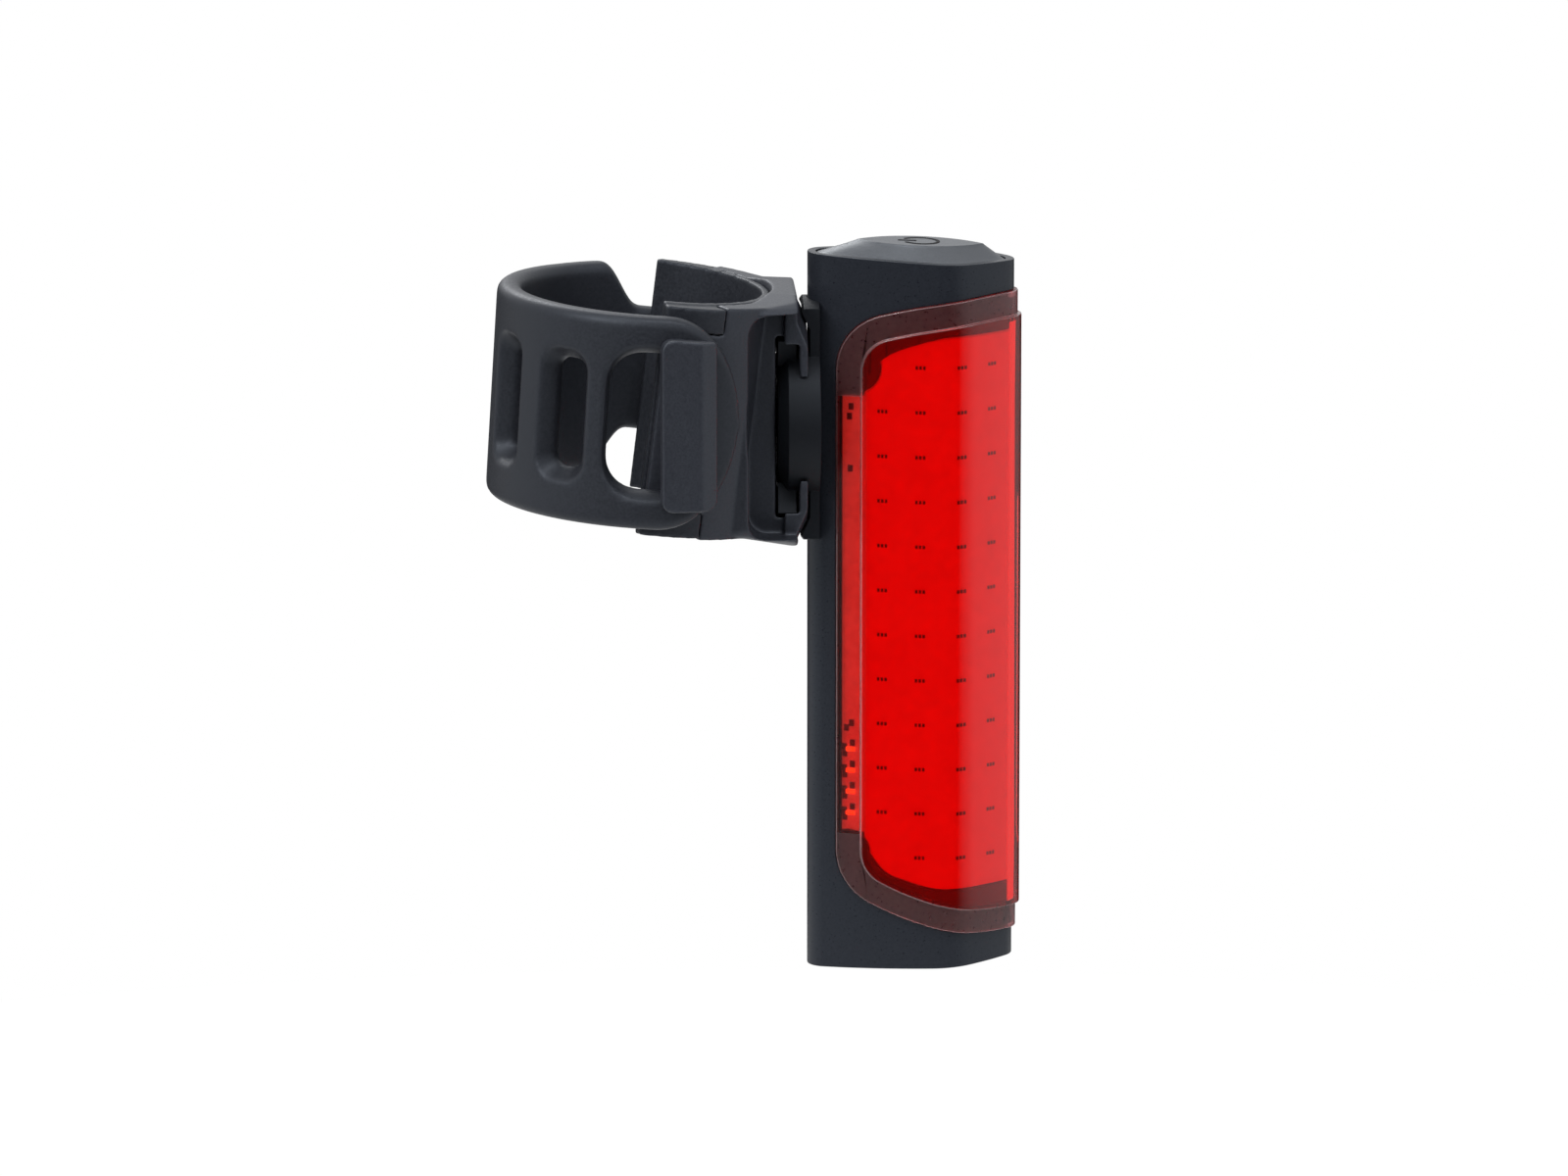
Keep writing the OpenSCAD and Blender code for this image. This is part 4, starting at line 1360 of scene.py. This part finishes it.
@dataclass
class Strap:
    """Rubber strap with its holes, soft edges and eye."""

    palette: Palette
    shift: float = 2.2
    inner: float = 16.2
    thick: float = 3.0
    width: float = 25.5
    post_lean: float = math.radians(7)
    eye_a: float = math.radians(76)
    tongue_a: float = math.radians(301)
    tongue_l: float = 8.6
    eye_h: float = 15.0
    eye_r: float = 2.25
    pin_r: float = 1.25
    pin_gap: float = 0.1
    eye_gap: float = 0.3
    end_gap: float = 0.2
    edge_r: float = 1.2
    neck_a: float = math.radians(97)
    neck_run: float = math.radians(16)
    lean_from: float = 92.0
    lean_run: float = 40.0
    lean_off: float = 0.5
    voxel: float = 0.3
    rounds: int = 8
    holes: tuple[tuple[float, float, float, float], ...] = (
        (-92, 11.0, 17.0, 0.7), (-126, 5.5, 14.5, 1.5), (-157, 5.5, 14.5, 1.5))

    @property
    def mid(self) -> float:
        """Radius of the strap's middle."""
        return self.inner + self.thick / 2

    @property
    def eye(self) -> Point2:
        """Middle of the eye in the post's axes."""
        return (self.shift + self.mid * math.cos(self.eye_a), self.mid * math.sin(self.eye_a))

    def eye_seat(self) -> Solid:
        """Room that the eye turns in.

        Returns:
            A round column along the pin.
        """
        reach = self.eye_h / 2 + self.end_gap
        lean = Matrix.Rotation(self.post_lean, 4, "Y")
        return Solid.through(circle(self.eye, self.eye_r + self.eye_gap), lean, reach)

    def half_width(self, a: float) -> float:
        """Half width of the strap at an angle.

        Args:
            a: Angle round the strap's circle.

        Returns:
            The half width.
        """
        full = self.width / 2
        run = math.sin(min(self.tongue_a - a, math.pi / 2)) * self.mid
        if run < self.tongue_l:
            return full * math.sqrt(max(1 - (1 - run / self.tongue_l) ** 2, 0.004))
        if a < self.neck_a:
            return self.eye_h / 2
        t = min((a - self.neck_a) / self.neck_run, 1.0)
        return self.eye_h / 2 + (full - self.eye_h / 2) * t * t * (3 - 2 * t)

    def band(self) -> Solid:
        """The strap without holes, in the post's axes.

        Returns:
            The band.
        """
        steps = 260
        rings: list[list[Vector]] = []
        for i in range(steps + 1):
            a = self.eye_a + (self.tongue_a - self.eye_a) * i / steps
            half = self.half_width(a)
            ring = round_rect(self.thick, 2 * half, min(self.edge_r, half * 0.9))
            points = [(self.mid + u, v) for u, v in ring]
            rings.append([Vector((self.shift + r * math.cos(a), r * math.sin(a), v)) for r, v in points])
        return Solid.loft(rings)

    def hole(self, degrees: float, width: float, height: float, lead: float) -> Solid:
        """A cutter for one hole, wider towards the outside.

        Args:
            degrees: Place of the hole round the strap's circle.
            width: Width round the circle.
            height: Height along the post.
            lead: Width of the slope round the hole.

        Returns:
            The cutter.
        """
        place = Matrix.Translation((self.shift, 0, 0)) @ Matrix.Rotation(math.radians(degrees), 4, "Z")
        place = place @ Matrix(((0, 0, 1, 0), (1, 0, 0, 0), (0, 1, 0, 0), (0, 0, 0, 1)))
        rings: list[list[Vector]] = []
        inner, outer = self.inner, self.inner + self.thick
        for reach, grow in ((10.0, -lead), (inner + 0.8, -lead), (inner + 1.9, 0.0), (outer, 1.6), (outer + 4, 6.0)):
            w, h = width + grow, height + grow
            rings.append([place @ Vector((u, v, reach)) for u, v in round_rect(w, h, min(w, h) * 0.36)])
        return Solid.loft(rings)

    def leaned(self, points: np.ndarray) -> np.ndarray:
        """Leans the strap, at the eye with the post and elsewhere half as far.

        Args:
            points: Points in the post's axes.

        Returns:
            Points in the part's axes.
        """
        x, y, z = points.T
        a = np.degrees(np.arctan2(y, x - self.shift)) % 360
        share = np.clip((a - self.lean_from) / self.lean_run, 0, 1)
        lean = self.post_lean * (1 - self.lean_off * share * share * (3 - 2 * share))
        c, s = np.cos(lean), np.sin(lean)
        return np.stack([x * c + z * s, y, z * c - x * s], axis=1)

    def build(self) -> None:
        """Makes the strap."""
        strap = self.band()
        for hole in self.holes:
            strap = strap.meet(Join.CUT, self.hole(*hole))
        round_eye = Solid.through(circle(self.eye, self.eye_r), reach=self.eye_h / 2)
        round_eye = round_eye.meet(Join.CUT, Solid.through(circle((self.shift, 0), self.inner, 180)))
        strap = strap.meet(Join.ADD, round_eye)
        strap = strap.meet(Join.CUT, Solid.through(circle(self.eye, self.pin_r + self.pin_gap)))
        strap = strap.melt(self.voxel, self.rounds).bend(self.leaned)
        strap.show("rubber_strap", Body.STRAP, self.palette.get(Slot.RUBBER), ["strap"], Slot.RUBBER, 80.0)


@dataclass
class Bracket:
    """Lock cup, saddle wings and hook in one moulding."""

    sizes: LightSizes
    palette: Palette
    node: bpy.types.Object
    strap: Strap
    lip: float = -7.4
    floor: float = -3.0
    lift: float = 0.7
    half_h: float = 13.6
    corner_r: float = 2.4
    deep: float = 6.2
    bore_r: float = 14.65
    wall: float = 0.6
    side: float = 30.0
    voxel: float = 0.17
    rounds: int = 10

    def recess(self) -> Solid:
        """Hollow in both sides of the cup, down to a thin wall over the pad.

        Returns:
            The hollow.
        """
        low, high = self.lift - self.half_h, self.lift + self.half_h
        view = rounded([(self.lip, low), (self.floor, low), (self.floor, high), (self.lip, high)],
                       [self.corner_r, 0, 0, self.corner_r])
        hollow = Solid.prism(view, self.deep, self.side, self.sizes.side_place)
        hollow = hollow.meet(Join.ADD, Solid.prism(view, -self.side, -self.deep, self.sizes.side_place))
        post = circle((0.0, 0.0), self.bore_r + self.wall, 96)
        return hollow.meet(Join.CUT, Solid.through(post, Matrix.Rotation(self.strap.post_lean, 4, "Y"), 40))

    def build(self) -> None:
        """Makes the moulding."""
        solid = Solid.of_node(self.node).meet(Join.CUT, self.strap.eye_seat()).meet(Join.CUT, self.recess())
        solid.melt(self.voxel, self.rounds).show(
            "bracket_piece", Body.BRACKET, self.palette.matte.build(), ["bracket"], Slot.PLASTIC, 80.0)


@dataclass
class PlainPieces:
    """CAD pieces that are shown with rounded edges, and those shown as they are."""

    palette: Palette
    nodes: dict[str, bpy.types.Object]
    moulded: tuple[tuple[str, Body, Slot, float, int], ...] = (
        ("saddle_pad", Body.BRACKET, Slot.RUBBER, 0.2, 4),
    )
    rounded: tuple[tuple[str, Body, Slot, float], ...] = (
        ("mount_foot", Body.LIGHT, Slot.PLASTIC, 0.2),
        ("port_cover", Body.COVER, Slot.RUBBER, 0.15),
    )
    kept: tuple[tuple[str, Slot], ...] = (
        ("strap_pin", Slot.STEEL), ("lens_gasket", Slot.RUBBER), ("led_carrier", Slot.CARRIER),
        ("battery", Slot.CELL), ("battery_pads", Slot.FOAM), ("battery_leads", Slot.LEAD),
        ("switch_board", Slot.BOARD), ("switch_board_chips", Slot.CHIP), ("tact_switch", Slot.CHIP),
        ("switch_plunger", Slot.WHITE), ("charge_board", Slot.BOARD), ("charge_board_chips", Slot.CHIP),
        ("usb_socket", Slot.STEEL), ("board_screws", Slot.STEEL), ("foot_screws", Slot.STEEL),
    )

    def build(self) -> None:
        """Rounds the shown pieces and gives the rest their finish."""
        for node, body, slot, voxel, rounds in self.moulded:
            Solid.of_node(self.nodes[node]).melt(voxel, rounds).show(
                node + "_piece", body, self.palette.get(slot), [node], slot, 80.0)
        for node, body, slot, width in self.rounded:
            # The mount foot gets the darker copy of the black plastic as painted shade.
            material = self.palette.painted_shade_hub.build() if node == "mount_foot" else self.palette.get(slot)
            Solid.of_node(self.nodes[node]).soften(width).show(node + "_piece", body, material, [node], slot)
        for node, slot in self.kept:
            obj = self.nodes[node]
            obj.data.materials.clear()
            obj.data.materials.append(self.palette.get(slot))
            LOG.info("piece %s as in the CAD, %d faces", node, len(obj.data.polygons))


# Studio


@dataclass(frozen=True)
class Lamp:
    """A soft lamp that faces the part.

    Attributes:
        name: Name of the lamp.
        place: Where it stands, in metres.
        size: Width and height of its face.
        power: Its power in watts.
    """

    name: str
    place: tuple[float, float, float]
    size: tuple[float, float]
    power: float


@dataclass
class Studio:
    """Camera, lamps, floor and pale surroundings."""

    target: tuple[float, float, float] = (0.01783, 0.0, -0.02379)
    distance: float = 1.2977
    lens: float = 249.4
    elevation: float = math.radians(11.91)
    yaw: float = math.radians(2.19)
    sensor: float = 36.0
    far: float = 20.0
    lamps: tuple[Lamp, ...] = (
        Lamp("key", (-0.8, -0.85, 0.7), (0.5, 0.5), 8.5), Lamp("fill", (0.8, -0.7, 0.2), (0.6, 0.6), 1.0),
        Lamp("back", (-0.3, 0.8, 0.7), (0.5, 0.5), 5.0), Lamp("top", (0.02, -0.45, 0.95), (1.2, 0.16), 5.0))
    soft_sky: tuple[tuple[float, float], ...] = ((0.0, 0.18), (0.35, 0.32), (1.0, 0.95))
    mirror_sky: tuple[tuple[float, float], ...] = ((0.55, 0.015), (0.8, 0.55), (1.0, 1.0))
    mirror_rise: float = 0.14
    floor: tuple[float, float, float] = (0.018, 0.0, -0.16)
    floor_r: float = 0.36
    floor_pale: float = 0.88
    floor_grey: float = 0.88

    def build(self) -> None:
        """Sets up the whole studio."""
        self.camera()
        for lamp in self.lamps:
            self.light(lamp)
        self.surroundings()
        self.ground()
        bpy.context.scene.view_settings.view_transform = "Standard"

    def camera(self) -> None:
        """Places the camera at the photo's angle."""
        level = math.cos(self.elevation)
        forward = Vector((math.sin(self.yaw) * level, math.cos(self.yaw) * level, -math.sin(self.elevation)))
        data = bpy.data.cameras.new("camera")
        data.lens = self.lens
        data.sensor_width = self.sensor
        data.clip_end = self.far
        camera = bpy.data.objects.new("camera", data)
        camera.location = Vector(self.target) - forward * self.distance
        camera.rotation_euler = forward.to_track_quat("-Z", "Y").to_euler()
        bpy.context.scene.collection.objects.link(camera)
        bpy.context.scene.camera = camera

    def light(self, lamp: Lamp) -> None:
        """Adds a lamp.

        Args:
            lamp: The lamp.
        """
        data = bpy.data.lights.new(lamp.name, "AREA")
        data.shape = "RECTANGLE"
        data.size, data.size_y = lamp.size
        data.energy = lamp.power
        obj = bpy.data.objects.new(lamp.name, data)
        obj.location = lamp.place
        obj.rotation_euler = (Vector(self.target) - Vector(lamp.place)).to_track_quat("-Z", "Y").to_euler()
        bpy.context.scene.collection.objects.link(obj)

    def surroundings(self) -> None:
        """Makes the studio round the part: white to the camera, soft light, and dim low sides in mirror rays."""
        world = bpy.data.worlds.new("studio")
        bpy.context.scene.world = world
        world.use_nodes = True
        tree = world.node_tree
        tree.nodes.clear()
        coords = tree.nodes.new("ShaderNodeTexCoord")
        parts = tree.nodes.new("ShaderNodeSeparateXYZ")
        tree.links.new(coords.outputs["Generated"], parts.inputs[0])
        soft = self.sky(tree, parts.outputs["Z"], self.soft_sky)
        side = tree.nodes.new("ShaderNodeMath")
        side.operation = "ABSOLUTE"
        tree.links.new(parts.outputs["X"], side.inputs[0])
        rise = tree.nodes.new("ShaderNodeMapRange")
        rise.inputs["From Max"].default_value = self.mirror_rise
        tree.links.new(parts.outputs["Z"], rise.inputs["Value"])
        bright = tree.nodes.new("ShaderNodeMath")
        bright.operation = "MAXIMUM"
        tree.links.new(side.outputs[0], bright.inputs[0])
        tree.links.new(rise.outputs["Result"], bright.inputs[1])
        mirror = self.sky(tree, bright.outputs[0], self.mirror_sky)
        pale = tree.nodes.new("ShaderNodeBackground")
        pale.inputs["Color"].default_value = (1.0, 1.0, 1.0, 1.0)
        rays = tree.nodes.new("ShaderNodeLightPath")
        shown = soft.outputs[0]
        for name, look in (("Is Glossy Ray", mirror), ("Is Transmission Ray", pale), ("Is Camera Ray", pale)):
            mix = tree.nodes.new("ShaderNodeMixShader")
            tree.links.new(rays.outputs[name], mix.inputs[0])
            tree.links.new(shown, mix.inputs[1])
            tree.links.new(look.outputs[0], mix.inputs[2])
            shown = mix.outputs[0]
        out = tree.nodes.new("ShaderNodeOutputWorld")
        tree.links.new(shown, out.inputs["Surface"])

    @staticmethod
    def sky(tree: bpy.types.NodeTree, height: bpy.types.NodeSocket,
            stops: Sequence[tuple[float, float]]) -> bpy.types.Node:
        """Adds surroundings that grow brighter along a value.

        Args:
            tree: Node tree of the world.
            height: The value that the brightness follows.
            stops: Pairs of value and brightness, in order.

        Returns:
            The background node.
        """
        ramp = tree.nodes.new("ShaderNodeValToRGB")
        first, last = ramp.color_ramp.elements[0], ramp.color_ramp.elements[1]
        first.position, last.position = stops[0][0], stops[-1][0]
        for place, _ in stops[1:-1]:
            ramp.color_ramp.elements.new(place)
        for place, level in stops:
            mark = min(ramp.color_ramp.elements, key=lambda m: abs(m.position - place))
            mark.color = (level * 0.98, level * 0.99, level, 1.0)
        tree.links.new(height, ramp.inputs["Fac"])
        back = tree.nodes.new("ShaderNodeBackground")
        tree.links.new(ramp.outputs["Color"], back.inputs["Color"])
        return back

    @staticmethod
    def direct_rays(tree: bpy.types.NodeTree) -> bpy.types.NodeSocket:
        """Tells rays that show the floor from rays that it lights the part by.

        Args:
            tree: Node tree of the floor.

        Returns:
            The socket, 1 for camera, mirror and glass rays.
        """
        rays = tree.nodes.new("ShaderNodeLightPath")
        found = rays.outputs["Is Camera Ray"]
        for name in ("Is Glossy Ray", "Is Transmission Ray"):
            either = tree.nodes.new("ShaderNodeMath")
            either.operation = "MAXIMUM"
            tree.links.new(found, either.inputs[0])
            tree.links.new(rays.outputs[name], either.inputs[1])
            found = either.outputs[0]
        return found

    def white(self) -> bpy.types.Material:
        """Makes the floor's finish: pale to the camera, with the part's shadow kept.

        Returns:
            The finished node material.
        """
        material = bpy.data.materials.new("pale floor")
        material.use_nodes = True
        tree = material.node_tree
        tree.nodes.clear()
        out = tree.nodes.new("ShaderNodeOutputMaterial")
        mix = tree.nodes.new("ShaderNodeMixShader")
        share = tree.nodes.new("ShaderNodeMapRange")
        share.inputs["To Max"].default_value = self.floor_pale
        grey = tree.nodes.new("ShaderNodeBsdfDiffuse")
        grey.inputs["Color"].default_value = (*(self.floor_grey,) * 3, 1.0)
        pale = tree.nodes.new("ShaderNodeEmission")
        pale.inputs["Color"].default_value = (1.0, 1.0, 1.0, 1.0)
        tree.links.new(self.direct_rays(tree), share.inputs["Value"])
        tree.links.new(share.outputs["Result"], mix.inputs[0])
        tree.links.new(grey.outputs[0], mix.inputs[1])
        tree.links.new(pale.outputs[0], mix.inputs[2])
        tree.links.new(mix.outputs[0], out.inputs["Surface"])
        return material

    def ground(self) -> None:
        """Lays a plain pale floor under the part."""
        work = bmesh.new()
        bmesh.ops.create_circle(work, cap_ends=True, radius=self.floor_r, segments=128,
                                matrix=Matrix.Translation(self.floor))
        mesh = bpy.data.meshes.new("floor")
        work.to_mesh(mesh)
        work.free()
        mesh.materials.append(self.white())
        floor = bpy.data.objects.new("floor", mesh)
        bpy.context.scene.collection.objects.link(floor)


def main() -> None:
    """Builds the light's looks and the studio round it."""
    logging.basicConfig(level=logging.INFO)
    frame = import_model()
    palette = Palette()
    sizes = LightSizes()
    LightBody(sizes, palette).build()
    Lens(sizes, palette).build()
    LedPanel(sizes, palette).build()
    PowerButton(sizes, palette).build()
    strap = Strap(palette)
    strap.build()
    Bracket(sizes, palette, frame["nodes"]["bracket"], strap).build()
    PlainPieces(palette, frame["nodes"]).build()
    Studio().build()


if __name__ == "__main__":
    main()
